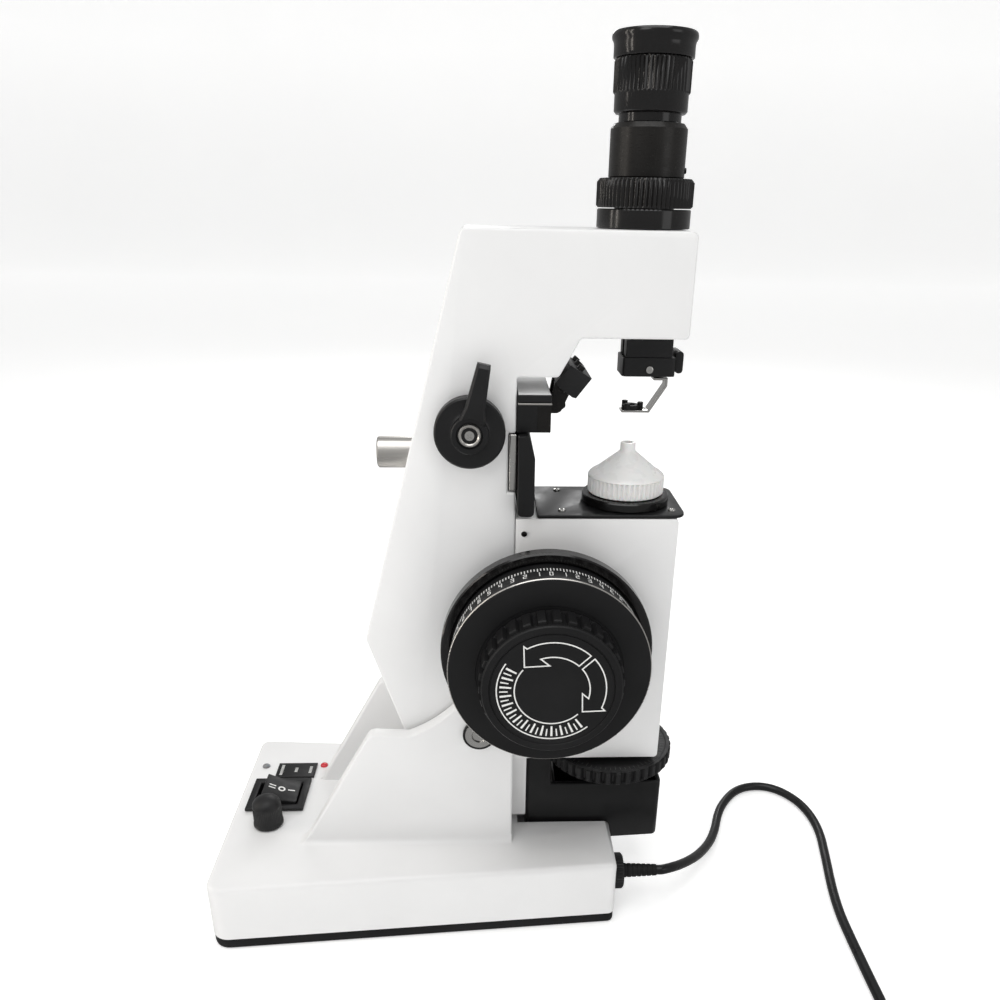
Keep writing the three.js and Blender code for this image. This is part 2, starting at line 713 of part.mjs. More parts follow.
function retainerBlock(x0, x1, z0, z1, corner) {
  const outline = rounded([[x0, -10], [x1, -10], [x1, 10], [x0, 10]], corner, 3);
  let block = plan(outline, z0, z1).subtract(disc(6, 290, 330, 28).translate(AXIS_X, 0, 0));
  return block.subtract(disc(2.4, 290, 330, 16).translate(SLIDER_X, 0, 0));
}

function retainerSlider() {
  const rod = disc(2, 301.5, 350, 16).translate(SLIDER_X, 0, 0);
  const stub = box([SLIDER_X, 132.7], [-1.5, 1.5], [304.5, 308.5]);
  const grip = side(rounded([[132, 304], [135.8, 304], [135.8, 314.4], [132, 314.4]], 1.6, 3), -7, 7);
  return rod.add(stub).add(grip);
}

function retainerArm() {
  const strip = [
    [122.5, 301.2],
    [122.5, 300],
    [128.4, 300],
    [128.4, 297.6],
    [120.6, 285.2],
    [107.4, 285.2],
    [107.4, 284],
    [121.3, 284],
    [129.6, 297.2],
    [129.6, 301.2],
  ];
  return side(strip, -4, 4);
}

// A thick washer with three prongs, on the arm's foot round the optical axis.
function retainerPad() {
  let pad = ring(4.6, 2.2, 285.5, 287.4, 20);
  for (let prong = 0; prong < 3; prong += 1) {
    const angle = (prong * 2 * Math.PI) / 3;
    pad = pad.add(disc(1.5, 285.5, 288.6, 12).translate(4.8 * Math.cos(angle), 4.8 * Math.sin(angle), 0));
  }
  return pad;
}

function addRetainer() {
  const place = group(0, 0, 0);
  const upper = retainerBlock(107, 129.8, 312, HEAD_FLOOR - GAP, 1);
  const slot = box([SLIDER_X - 1, 135], [-2, 2], [300, 310]);
  add(place, 'retainer_upper_block', upper, BLACK);
  add(place, 'retainer_lower_block', retainerBlock(105.7, 131.7, 302.8, 311.7, 2).subtract(slot), BLACK);
  add(place, 'retainer_slider', retainerSlider(), PLASTIC_BLACK);
  add(place, 'retainer_arm', retainerArm(), STEEL);
  add(group(AXIS_X, 0, 0), 'retainer_pad', retainerPad(), RUBBER);
}

// ---------------------------------------------------------------- marking device

function markerBracket() {
  const body = side([[54.3, 278.8], [70.3, 278.8], [70.3, 291.8], [54.3, 291.8]], -26, 26);
  const lugOutline = [[69, 283.8], [75, 283.8], [79, 287], [79, 291], [69, 292.5]];
  const lug = side(rounded(lugOutline, [0, 1, 1, 3, 0], 3), -6, 6);
  return body.add(lug).subtract(rodY(1.8, MARKER_X, MARKER_Z, -10, 10, 16));
}

// Two side plates and a cross pin; the plates reach up to the pen holder.
function markerArm() {
  const plate = rounded([[70.6, 286], [76, 284.6], [80.4, 294.3], [73.2, 299.8]], [2, 2, 0, 0], 3);
  const near = side(plate, -10, -6.3);
  const far = side(plate, 6.3, 10);
  return near.add(far).add(rodY(1.5, MARKER_X, MARKER_Z, -8, 8, 14));
}

function penHolder() {
  const outline = [[73.5, 299.9], [80.7, 294.5], [82.6, 294], [89.8, 303.4], [79.4, 309.3], [72.6, 301.4]];
  let holder = side(outline, -20, 20);
  for (const y of PEN_Y) {
    holder = holder.subtract(pen(2.1, -20, 20).translate(PEN_FOOT[0], y, PEN_FOOT[1]));
  }
  return holder;
}

const PEN_Y = [-13, 0, 13];
const PEN_FOOT = [77.9, 298.5];
const PEN_TILT = 40;

// A rod that leans from Z towards +X by the pens' angle.
const pen = (r, z0, z1) => disc(r, z0, z1, 14).rotate([0, PEN_TILT, 0]);

function addMarker() {
  const place = group(0, 0, 0);
  add(place, 'ink_pad_block', markerBracket(), BLACK);
  add(place, 'ink_pad_lid', box([54.3, 70.6], [-26, 26], [292.8, 296.6]), PLASTIC_BLACK);
  add(place, 'marker_arm', markerArm(), BLACK_METAL);
  add(place, 'pen_holder', penHolder(), PLASTIC_BLACK);
  PEN_Y.forEach((y, i) => {
    add(group(PEN_FOOT[0], y, PEN_FOOT[1]), `marking_pen_${i + 1}`, pen(1.8, -3, 12.5), STEEL);
  });
}

// ---------------------------------------------------------------- telescope and eyepiece

function addEyepiece() {
  const onAxis = group(AXIS_X, 0, 0);
  add(onAxis, 'objective_lens', disc(8.7, HEAD_FLOOR, HEAD_FLOOR + 3, 28), GLASS);
  add(onAxis, 'telescope_collar', ring(21.6, 14, HEAD_TOP + GAP, 377), BLACK_METAL);
  add(onAxis, 'reticle_ring', ring(22.3, 14, 377.4, 389.6), PLASTIC_BLACK);
  add(onAxis, 'reticle_glass', disc(10.7, 380, 382.5, 28), GLASS);
  const barrel = [
    [11, 366],
    [13.7, 366],
    [13.7, 389.9],
    [17.2, 389.9],
    [17.2, 409],
    [15.4, 411.5],
    [11, 411.5],
    [11, 366],
  ];
  add(onAxis, 'eyepiece_barrel', turned(barrel), BLACK_METAL);
  const tube = [
    [8.5, 395],
    [10.7, 395],
    [10.7, 411.9],
    [13.9, 411.9],
    [13.9, 415.2],
    [16.3, 415.6],
    [16.3, 423],
    [17, 423],
    [17, 436],
    [12.5, 436],
    [12.5, 440],
    [8.5, 440],
    [8.5, 395],
  ];
  add(onAxis, 'dioptre_tube', turned(tube), BLACK_METAL);
  const cup = [
    [12.8, 436.3],
    [17.6, 436.3],
    [17.6, 440.4],
    [18.6, 441.4],
    [18.6, 446],
    [17, 446],
    [14.4, 441.2],
    [12.8, 440.6],
    [12.8, 436.3],
  ];
  add(onAxis, 'eyecup', turned(cup), PLASTIC_BLACK);
  add(onAxis, 'eye_lens', disc(8.2, 434, 438, 28), GLASS);
}

// ---------------------------------------------------------------- the whole

addBase();
addPivot();
addSwitchPanel();
addMainsLead();
addBody();
addLensStop();
addTarget();
addPowerDrum();
addLamp();
addLensTable();
addTableLever();
addRetainer();
addMarker();
addEyepiece();

export default lensmeter;
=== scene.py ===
"""Looks for the bench lensmeter: finer pieces, materials, the mains lead, a stage, lights and a camera.

Lengths of pieces are millimetres until new_piece() turns them into metres. The camera and the lights
are placed in metres.
"""

import json
import math

import bmesh
import bpy
from mathutils import Matrix, Vector

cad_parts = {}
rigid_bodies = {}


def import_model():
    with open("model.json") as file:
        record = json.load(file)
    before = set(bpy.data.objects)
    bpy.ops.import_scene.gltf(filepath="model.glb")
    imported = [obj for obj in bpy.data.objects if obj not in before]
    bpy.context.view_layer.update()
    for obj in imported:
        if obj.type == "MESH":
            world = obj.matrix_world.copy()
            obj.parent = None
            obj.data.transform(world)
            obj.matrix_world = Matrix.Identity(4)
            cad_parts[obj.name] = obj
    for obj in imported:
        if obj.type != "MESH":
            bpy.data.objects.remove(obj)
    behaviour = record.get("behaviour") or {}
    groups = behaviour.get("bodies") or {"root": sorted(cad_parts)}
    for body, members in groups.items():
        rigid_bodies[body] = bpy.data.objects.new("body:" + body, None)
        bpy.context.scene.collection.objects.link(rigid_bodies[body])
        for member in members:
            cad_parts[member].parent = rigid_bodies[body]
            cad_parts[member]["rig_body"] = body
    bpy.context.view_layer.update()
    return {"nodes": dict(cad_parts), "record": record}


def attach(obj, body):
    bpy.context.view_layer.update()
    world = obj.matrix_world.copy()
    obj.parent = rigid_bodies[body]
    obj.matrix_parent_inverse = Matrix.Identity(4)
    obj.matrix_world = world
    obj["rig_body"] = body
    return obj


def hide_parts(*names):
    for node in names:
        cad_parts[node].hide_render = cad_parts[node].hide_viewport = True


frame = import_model()

MM = 0.001
NODES = frame["nodes"]
SLOTS = {part["node"]: part["material_slot"] for part in frame["record"]["subparts"]}
CLEAR = 0.3                       # the gap that the CAD leaves between touching pieces

AXIS_X = 112.5                    # the optical axis
DRUM_X = 70.5
DRUM_Z = 169.1
PIVOT_X = 35.6
PIVOT_Z = 115.0
LEVER_X = 31.7
LEVER_Z = 279.6
LEVER_LEAN = -12                  # degrees, of the handle
ROD_Z = 262.3
KNOB_X = -89.3
KNOB_Y = -17
BODY_HALF = 25.2
BASE_TOP = 42.0
PLATE_TOP = 7.0
SHELL_BOTTOM = PLATE_TOP + CLEAR
LABEL_FLOOR = 82.6                # the knob's printed marks stand from here to LABEL_TOP
LABEL_TOP = 82.79
LINE = 0.62                       # width of the knob's printed lines


# ---------------------------------------------------------------- camera

def make_camera():
    pitch, yaw, roll = math.radians(24.87), math.radians(3.01), math.radians(1.11)
    data = bpy.data.cameras.new("camera")
    data.sensor_width = 36.0
    data.lens = 31.84
    data.shift_x = -0.0252
    data.shift_y = 0.1118
    data.clip_start = 0.01
    turn = Matrix.Rotation(-yaw, 4, "Z") @ Matrix.Rotation(math.pi / 2 - pitch, 4, "X")
    camera = bpy.data.objects.new("camera", data)
    camera.matrix_world = (
        Matrix.Translation((0.03779, -0.44602, 0.37913)) @ turn @ Matrix.Rotation(roll, 4, "Z")
    )
    bpy.context.scene.collection.objects.link(camera)
    bpy.context.scene.camera = camera


# ---------------------------------------------------------------- materials

class Surface:
    """A node material whose colour, roughness and relief all vary over the surface."""

    def __init__(self, name, colour, roughness, metallic=0.0, **sockets):
        self.material = bpy.data.materials.new(name)
        self.material.use_nodes = True
        self.tree = self.material.node_tree
        self.shader = self.tree.nodes["Principled BSDF"]
        self.shader.inputs["Metallic"].default_value = metallic
        self.colour = colour
        self.roughness = roughness
        self.where = self.tree.nodes.new("ShaderNodeTexCoord").outputs["Object"]
        self.relief = None
        for socket, value in sockets.items():
            self.shader.inputs[socket.replace("_", " ")].default_value = value

    def node(self, kind, **values):
        node = self.tree.nodes.new(kind)
        for socket, value in values.items():
            node.inputs[socket].default_value = value
        return node

    def link(self, output, socket):
        self.tree.links.new(output, socket)

    def noise(self, scale, detail=4.0, stretch=(1, 1, 1)):
        mapping = self.node("ShaderNodeMapping", Scale=stretch)
        self.link(self.where, mapping.inputs["Vector"])
        noise = self.node("ShaderNodeTexNoise", Scale=scale, Detail=detail)
        self.link(mapping.outputs["Vector"], noise.inputs["Vector"])
        return noise.outputs["Fac"]

    def span(self, factor, low, high):
        node = self.tree.nodes.new("ShaderNodeMapRange")
        self.link(factor, node.inputs["Value"])
        for socket, value in (("From Min", 0.3), ("From Max", 0.7), ("To Min", low), ("To Max", high)):
            node.inputs[socket].default_value = value
        return node.outputs["Result"]

    def mottle(self, scale, spread, detail=5.0, stretch=(1, 1, 1)):
        """Varies the colour between a darker and a lighter shade of itself."""
        ramp = self.tree.nodes.new("ShaderNodeValToRGB")
        low = [channel * (1 - spread) for channel in self.colour]
        high = [min(1.0, channel * (1 + spread)) for channel in self.colour]
        ramp.color_ramp.elements[0].position = 0.3
        ramp.color_ramp.elements[0].color = (*low, 1)
        ramp.color_ramp.elements[1].position = 0.7
        ramp.color_ramp.elements[1].color = (*high, 1)
        self.link(self.noise(scale, detail, stretch), ramp.inputs["Fac"])
        self.link(ramp.outputs["Color"], self.shader.inputs["Base Color"])
        return self

    def sheen_break(self, scale, spread, stretch=(1, 1, 1)):
        """Varies the roughness, as handling and moulding do."""
        low = max(0.02, self.roughness - spread)
        rough = self.span(self.noise(scale, 6.0, stretch), low, self.roughness + spread)
        self.link(rough, self.shader.inputs["Roughness"])
        return self

    def grain(self, scale, height_mm, strength=0.5, stretch=(1, 1, 1)):
        bump = self.node("ShaderNodeBump", Strength=strength, Distance=height_mm * MM)
        self.link(self.noise(scale, 3.0, stretch), bump.inputs["Height"])
        if self.relief is not None:
            self.link(self.relief, bump.inputs["Normal"])
        self.relief = bump.outputs["Normal"]
        self.link(self.relief, self.shader.inputs["Normal"])
        return self

    def done(self):
        return self.material


def white_enamel():
    surface = Surface("white enamel", (0.86, 0.86, 0.857), 0.38, Coat_Weight=0.25, Coat_Roughness=0.25)
    surface.mottle(18, 0.025).sheen_break(60, 0.07)
    return surface.grain(900, 0.05, 0.35).grain(140, 0.12, 0.15).done()


def dark(name, colour, roughness, specular, mottle, sheen, grain, metallic=0.0):
    """Paint, anodising, plastic or rubber: all nearly black, and told apart by gloss and grain."""
    surface = Surface(name, colour, roughness, metallic, Specular_IOR_Level=specular)
    return surface.mottle(*mottle).sheen_break(*sheen).grain(*grain).done()


def ground_steel():
    surface = Surface("ground steel", (0.62, 0.60, 0.57), 0.3, 1.0)
    return surface.mottle(25, 0.08, 6, (0.2, 6, 6)).sheen_break(60, 0.09, (0.15, 8, 8)).grain(
        300, 0.015, 0.3, (0.1, 5, 5)).done()


def bright_steel():
    surface = Surface("bright steel", (0.6, 0.59, 0.57), 0.24, 1.0)
    return surface.mottle(120, 0.03).sheen_break(200, 0.04).grain(900, 0.004, 0.2).done()


def ivory_plastic():
    surface = Surface("ivory plastic", (0.87, 0.865, 0.85), 0.28, Subsurface_Weight=0.08)
    surface.shader.inputs["Subsurface Scale"].default_value = 0.002
    return surface.mottle(60, 0.03).sheen_break(120, 0.07).grain(900, 0.02, 0.25).done()


def lens_glass():
    surface = Surface("optical glass", (0.86, 0.93, 0.92), 0.06, Transmission_Weight=0.9, IOR=1.5)
    return surface.mottle(60, 0.03).sheen_break(60, 0.03).done()


def lamp_lens(name, colour):
    surface = Surface(name, colour, 0.22, Coat_Weight=0.5, Subsurface_Weight=0.15)
    surface.shader.inputs["Subsurface Scale"].default_value = 0.001
    return surface.mottle(600, 0.12).sheen_break(400, 0.05).grain(900, 0.02, 0.2).done()


def circuit_board():
    surface = Surface("circuit board", (0.02, 0.13, 0.05), 0.42)
    return surface.mottle(300, 0.3, 2).sheen_break(300, 0.08).grain(800, 0.05, 0.4).done()


def printed(name, colour):
    return Surface(name, colour, 0.5).mottle(900, 0.06).sheen_break(600, 0.08).done()


LOOKS = {
    "white_paint": white_enamel(),
    "black_paint": dark("black enamel", (0.009, 0.009, 0.0095), 0.36, 0.35,
                        (30, 0.25), (90, 0.08), (1200, 0.04, 0.3)),
    "black_anodised": dark("black anodised", (0.013, 0.012, 0.011), 0.33, 0.35,
                           (60, 0.2), (400, 0.08, (1, 1, 6)), (1100, 0.03, 0.35), 0.3),
    "black_plastic": dark("black plastic", (0.012, 0.012, 0.0125), 0.44, 0.32,
                          (50, 0.2), (150, 0.08), (1700, 0.06, 0.45)),
    "black_rubber": dark("black rubber", (0.010, 0.010, 0.0105), 0.6, 0.25,
                         (40, 0.25), (90, 0.1), (1300, 0.05, 0.4)),
    "steel": ground_steel(),
    "ivory_plastic": ivory_plastic(),
    "optical_glass": lens_glass(),
    "red_lens": lamp_lens("red lamp lens", (0.62, 0.02, 0.035)),
    "grey_lens": lamp_lens("grey lamp lens", (0.22, 0.225, 0.23)),
    "circuit_board": circuit_board(),
}
GLOSS = dark("gloss black", (0.006, 0.0055, 0.0055), 0.16, 0.45,
             (40, 0.25), (80, 0.05), (700, 0.02, 0.2, (1, 1, 0.2)))
DRUM = dark("drum black", (0.010, 0.010, 0.0105), 0.5, 0.25, (30, 0.2), (120, 0.07), (1500, 0.04, 0.3))
SHEATH = dark("lead sheath", (0.007, 0.007, 0.0075), 0.32, 0.4, (60, 0.25), (200, 0.08), (500, 0.04, 0.25))
BRIGHT = bright_steel()
PRINT = printed("printed white", (0.82, 0.82, 0.80))
FAINT = printed("worn print", (0.07, 0.07, 0.07))


# ---------------------------------------------------------------- pieces

def new_piece(name, vertices, faces):
    mesh = bpy.data.meshes.new(name)
    mesh.from_pydata([Vector(vertex) * MM for vertex in vertices], [], faces)
    work = bmesh.new()
    work.from_mesh(mesh)
    bmesh.ops.recalc_face_normals(work, faces=work.faces)
    work.to_mesh(mesh)
    work.free()
    piece = bpy.data.objects.new(name, mesh)
    bpy.context.scene.collection.objects.link(piece)
    return piece


def raised(name, shapes, low, high, spot):
    """Shapes raised between two levels, as one piece; spot(corner, level) is where a corner goes."""
    vertices, faces = [], []
    for shape in shapes:
        count = len(shape)
        start = len(vertices)
        vertices += [spot(corner, level) for level in (low, high) for corner in shape]
        faces += [tuple(range(start, start + count)), tuple(range(start + count, start + 2 * count))]
        for i in range(start, start + count):
            j = i + 1 if i + 1 < start + count else start
            faces.append((i, j, count + j, count + i))
    return new_piece(name, vertices, faces)


def prism(name, outline, low, high, place=Matrix.Identity(4)):
    """An outline in the local XY plane, raised along local Z."""
    return raised(name, [outline], low, high, lambda corner, level: place @ Vector((*corner, level)))


def along_y():
    """The place whose local XY plane is the frame's XZ plane, with local Z towards the operator's right."""
    return Matrix.Rotation(math.pi / 2, 4, "X")


def along_x(x, y, z, sign=1):
    """The place at (x, y, z) whose local Z points along X, or against it where the sign is -1."""
    return Matrix.Translation((x, y, z)) @ Matrix.Rotation(sign * math.pi / 2, 4, "Y")


def side_prism(name, outline, y0, y1):
    """An outline in the XZ plane, carried along Y from y0 to y1."""
    return prism(name, outline, -y1, -y0, along_y())


def block(name, xs, ys, zs):
    return prism(name, [(xs[0], ys[0]), (xs[1], ys[0]), (xs[1], ys[1]), (xs[0], ys[1])], *zs)


def layered(name, layers, place=Matrix.Identity(4)):
    """A solid skinned over (outline, height) layers that all have the same number of points."""
    count = len(layers[0][0])
    vertices = [place @ Vector((x, y, height)) for outline, height in layers for x, y in outline]
    faces = [tuple(range(count)), tuple(range(len(vertices) - count, len(vertices)))]
    for start in range(0, len(vertices) - count, count):
        faces += [(start + i, start + (i + 1) % count, start + count + (i + 1) % count, start + count + i)
                  for i in range(count)]
    return new_piece(name, vertices, faces)


def turned(name, profile, place, segments=96, teeth=0, depth=0.0, pattern=(0, 0, 1, 1)):
    """A profile of (radius, height) turned about local Z; points with a third value are cut into teeth."""
    if teeth:
        segments = teeth * len(pattern)
    vertices = []
    rings = []
    for radius, height, *cut in profile:
        start = len(vertices)
        if radius == 0:
            vertices.append(place @ Vector((0, 0, height)))
            rings.append([start] * segments)
            continue
        for step in range(segments):
            angle = 2 * math.pi * step / segments
            reach = radius - (depth * pattern[step % len(pattern)] if cut else 0)
            vertices.append(place @ Vector((reach * math.cos(angle), reach * math.sin(angle), height)))
        rings.append(list(range(start, start + segments)))
    closed = profile[0][0] > 0
    faces = []
    for lower, upper in zip(rings, rings[1:] + rings[:1] if closed else rings[1:]):
        for step in range(segments):
            after = (step + 1) % segments
            corners = [lower[step], lower[after], upper[after], upper[step]]
            face = tuple(dict.fromkeys(corners))
            if len(face) > 2:
                faces.append(face)
    return new_piece(name, vertices, faces)


def bar(name, radius, low, high, place, segments=48):
    """A plain round bar, mostly for cutting a bore."""
    return turned(name, [(0, low), (radius, low), (radius, high), (0, high)], place, segments)


def rounded(points, radius, steps=6):
    """An outline with each corner replaced by an arc."""
    outline = []
    count = len(points)
    for i, point in enumerate(points):
        size = radius[i] if isinstance(radius, (list, tuple)) else radius
        corner = Vector(point)
        if size == 0:
            outline.append(tuple(corner))
            continue
        before = (Vector(points[i - 1]) - corner).normalized()
        after = (Vector(points[(i + 1) % count]) - corner).normalized()
        half = before.angle(after) / 2
        centre = corner + (before + after).normalized() * (size / math.sin(half))
        start = corner + before * (size / math.tan(half)) - centre
        end = corner + after * (size / math.tan(half)) - centre
        sweep = math.atan2(start.cross(end), start.dot(end))
        for step in range(steps + 1):
            outline.append(tuple(centre + Matrix.Rotation(sweep * step / steps, 2) @ start))
    return outline


def arc(radius, start, end, steps):
    angles = [math.radians(start + (end - start) * step / steps) for step in range(steps + 1)]
    return [(radius * math.cos(angle), radius * math.sin(angle)) for angle in angles]


def settle(piece):
    """Replaces a piece's mesh with the result of its modifiers."""
    shaped = bpy.data.meshes.new_from_object(
        piece.evaluated_get(bpy.context.evaluated_depsgraph_get())
    )
    piece.modifiers.clear()
    piece.data = shaped
    return piece


def combine(piece, operation, *tools):
    for tool in tools:
        modifier = piece.modifiers.new(operation, "BOOLEAN")
        modifier.operation = operation
        modifier.solver = "EXACT"
        modifier.object = tool
    settle(piece)
    for tool in tools:
        bpy.data.objects.remove(tool)
    return piece


def merged(piece):
    """Joins the triangles of each flat face, so that bevels run cleanly."""
    work = bmesh.new()
    work.from_mesh(piece.data)
    bmesh.ops.remove_doubles(work, verts=work.verts, dist=1e-6)
    bmesh.ops.dissolve_limit(work, angle_limit=math.radians(0.5), verts=work.verts, edges=work.edges)
    work.to_mesh(piece.data)
    work.free()
    return piece


def soften(piece, width, segments=3, angle=28, clamp=True):
    """Rounds the edges of a flat-sided piece."""
    bevel = piece.modifiers.new("edges", "BEVEL")
    bevel.limit_method = "ANGLE"
    bevel.angle_limit = math.radians(angle)
    bevel.width = width * MM
    bevel.segments = segments
    bevel.use_clamp_overlap = clamp
    bevel.harden_normals = True
    piece.data.shade_smooth()
    return piece


def smooth(piece, angle=32):
    piece.data.shade_smooth()
    piece.data.set_sharp_from_angle(angle=math.radians(angle))
    return piece


def dress(piece, material, body):
    piece.data.materials.clear()
    piece.data.materials.append(material)
    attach(piece, body)
    return piece


def stand_in(piece, *nodes, material=None):
    """The piece is shown in place of these CAD nodes, and rides and is finished as the first of them is."""
    slot = SLOTS[nodes[0]]
    dress(piece, material or LOOKS[slot], NODES[nodes[0]]["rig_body"])
    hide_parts(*nodes)
    return piece


def trim(piece, node, material):
    """The piece is extra detail on a CAD node."""
    return dress(piece, material, NODES[node]["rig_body"])


def refined(node, width, segments=3, material=None):
    """The CAD node's own shape, with its edges rounded."""
    piece = bpy.data.objects.new(node + "_finished", NODES[node].data.copy())
    bpy.context.scene.collection.objects.link(piece)
    soften(merged(piece), width, segments)
    return stand_in(piece, node, material=material)


def upright(x, y, z=0.0):
    return Matrix.Translation((x, y, z))


def facing_right(x, z):
    """The place at (x, z) whose local Z points to the operator's right, with local Y up."""
    return Matrix.Translation((x, 0, z)) @ along_y()


def pivot_bore():
    return bar("pivot_bore", 5.3, -40, 40, facing_right(PIVOT_X, PIVOT_Z), 32)


def pan_screw(name, node, radius, height, place, material=None, turn=0.3):
    """A cross-recessed pan-head screw, whose head stands on the local XY plane."""
    profile = [(0, -0.05), (radius, -0.05), (radius, height * 0.35), (radius * 0.9, height * 0.75),
               (radius * 0.6, height * 0.97), (0, height)]
    head = turned(name, profile, Matrix.Identity(4), 32)
    for quarter in range(2):
        slot = block("recess", (-radius * 0.55, radius * 0.55), (-radius * 0.12, radius * 0.12),
                     (height * 0.35, height * 2))
        slot.data.transform(Matrix.Rotation(turn + quarter * math.pi / 2, 4, "Z"))
        combine(head, "DIFFERENCE", slot)
    shift = place.copy()
    shift.translation = place.translation * MM
    head.data.transform(shift)
    smooth(head, 40)
    return trim(head, node, material or BRIGHT)


# ---------------------------------------------------------------- mains lead

CORD_D = 5.6
COIL_X = 208.4
COIL_Y = -176.0
COIL_RADII = (36.6, 31.0, 25.4)
RELIEF_END = 138.5
GLAND_Y = -44.0
GLAND_Z = 26.0
PLUG_TAIL = 185.6
PLUG_Z = 8.4

LEAD_ROUTE = [
    (RELIEF_END, GLAND_Y, GLAND_Z), (142, GLAND_Y, GLAND_Z), (148.5, -40.6, 24.6), (156, -34, 21.2),
    (164, -25.4, 17.2), (171.4, -15.6, 12.9), (178.6, -4.5, 8.8), (185.4, 7.6, 5.4),
    (191.3, 20.5, 3.4), (196, 33, 2.8), (201, 43.5, 2.8), (207.5, 53, 2.8),
    (215, 61, 2.8), (224, 66, 2.8), (234.6, 67.2, 2.8), (244, 64, 2.8),
    (251.5, 57, 2.8), (257, 47.5, 2.8), (260, 36, 2.8), (260.8, 24, 2.8),
    (259.8, 11.7, 2.8), (257.5, -0.5, 2.8), (254.5, -15, 2.8), (251.3, -30, 2.8),
    (248.6, -45, 2.8), (246.8, -60, 2.8), (246.1, -75, 2.8), (245.7, -90, 2.8),
    (245.4, -105, 2.8), (245.2, -120, 2.8), (245, -135, 2.8), (245, -150, 2.8),
]


def coil_route():
    """Three turns inwards on the surface, three outwards on top of them, and a quarter turn to the plug."""
    per_turn = 24
    radii = [*COIL_RADII, *reversed(COIL_RADII), COIL_RADII[0]]
    points = []
    for step in range(6 * per_turn + per_turn // 4 + 1):
        turn, part = divmod(step, per_turn)
        ease = min(1.0, part / (per_turn * 0.35))
        blend = ease * ease * (3 - 2 * ease)
        before = radii[turn - 1] if turn else radii[0]
        radius = before + (radii[turn] - before) * blend
        if turn < 3:
            height = CORD_D / 2
        elif turn == 3:
            height = CORD_D / 2 + CORD_D * blend
        else:
            height = CORD_D * 1.5
        angle = -2 * math.pi * step / per_turn
        points.append((COIL_X + radius * math.cos(angle), COIL_Y + radius * math.sin(angle), height))
    return points


def through(points):
    """Points along a smooth curve through the given ones."""
    per_span = 3
    route = [Vector(point) for point in points]
    route = [2 * route[0] - route[1], *route, 2 * route[-1] - route[-2]]
    path = []
    for i in range(1, len(route) - 2):
        a, b, c, d = route[i - 1:i + 3]
        for step in range(per_span):
            t = step / per_span
            path.append(0.5 * (2 * b + (c - a) * t + (2 * a - 5 * b + 4 * c - d) * t * t
                               + (3 * b - a - 3 * c + d) * t ** 3))
    path.append(route[-2])
    return path


def make_lead():
    points = LEAD_ROUTE + coil_route() + [(COIL_X - 12, COIL_Y - COIL_RADII[0], PLUG_Z),
                                          (PLUG_TAIL, COIL_Y - COIL_RADII[0], PLUG_Z)]
    path = through(points)
    curve = bpy.data.curves.new("mains_lead", "CURVE")
    curve.dimensions = "3D"
    curve.bevel_depth = CORD_D / 2 * MM
    curve.bevel_resolution = 6
    curve.use_fill_caps = True
    spline = curve.splines.new("POLY")
    spline.points.add(len(path) - 1)
    for point, place in zip(spline.points, path):
        point.co = (*(place * MM), 1)
    spline.use_smooth = True
    lead = bpy.data.objects.new("mains_lead", curve)
    bpy.context.scene.collection.objects.link(lead)
    stand_in(lead, "cord_run", "cord_coil", material=SHEATH)
    return lead


def make_gland():
    place = along_x(0, GLAND_Y, GLAND_Z)
    flange = [(0, 113.3), (10.2, 113.3, 1), (10.2, 117.5, 1), (9.2, 118.4), (0, 118.4)]
    piece = smooth(turned("cord_gland_flange", flange, place, teeth=36, depth=0.5, pattern=(0, 0, 1, 1)))
    stand_in(piece, "cord_gland")
    sleeve = [(0, 118.2), (4.2, 118.2), (4.15, 119.2)]
    for groove in range(6):
        start = 120.5 + groove * 2.9
        radius = 4.1 - groove * 0.13
        sleeve += [(radius, start), (radius - 0.35, start + 0.3), (radius - 0.35, start + 0.8),
                   (radius - 0.08, start + 1.1)]
    sleeve += [(3.3, 138.2), (3.1, RELIEF_END), (0, RELIEF_END)]
    return trim(smooth(turned("cord_relief", sleeve, place, 40)), "cord_gland", LOOKS["black_rubber"])


def make_plug():
    y = COIL_Y - COIL_RADII[0]
    outline = rounded([(-58, -8.5), (-36, -13), (-19, -9), (-19, 9), (-36, 13), (-58, 8.5)], 3.2, 5)
    body = soften(prism("mains_plug_body", outline, -8, 8, upright(PLUG_TAIL, y, PLUG_Z)), 2.4, 4)
    stand_in(body, "mains_plug")
    tail = along_x(PLUG_TAIL, y, PLUG_Z, -1)
    profile = [(0, 0), (3.2, 0), (3.7, 0.6)]
    for groove in range(5):
        start = 2.2 + groove * 3.2
        radius = 3.9 + groove * 0.22
        profile += [(radius, start), (radius - 0.6, start + 0.3), (radius - 0.6, start + 1.3),
                    (radius + 0.05, start + 1.6)]
    profile += [(5.2, 19.6), (0, 19.6)]
    relief = trim(smooth(turned("mains_plug_relief", profile, tail, 40)), "mains_plug",
                  LOOKS["black_rubber"])
    pieces = [body, relief]
    for number, offset in enumerate((-6.3, 6.3), 1):
        place = along_x(PLUG_TAIL, y + offset, PLUG_Z, -1)
        pin = [(0, 57), (2, 57), (2, 74.6), (1.4, 75.8), (0, 76)]
        pieces.append(trim(smooth(turned(f"mains_plug_pin_{number}", pin, place, 24)), "mains_plug",
                           BRIGHT))
    return pieces


# ---------------------------------------------------------------- base

def base_outline(inset=0.0):
    x, near, far = 113.0 - inset, 74.0 - inset, 58.5 - inset
    radii = [max(radius - inset, 0.5) for radius in (10.0, 4.0, 4.0, 5.0)]
    return rounded([(-x, -near), (x, -far), (x, far), (-x, near)], radii, 8)


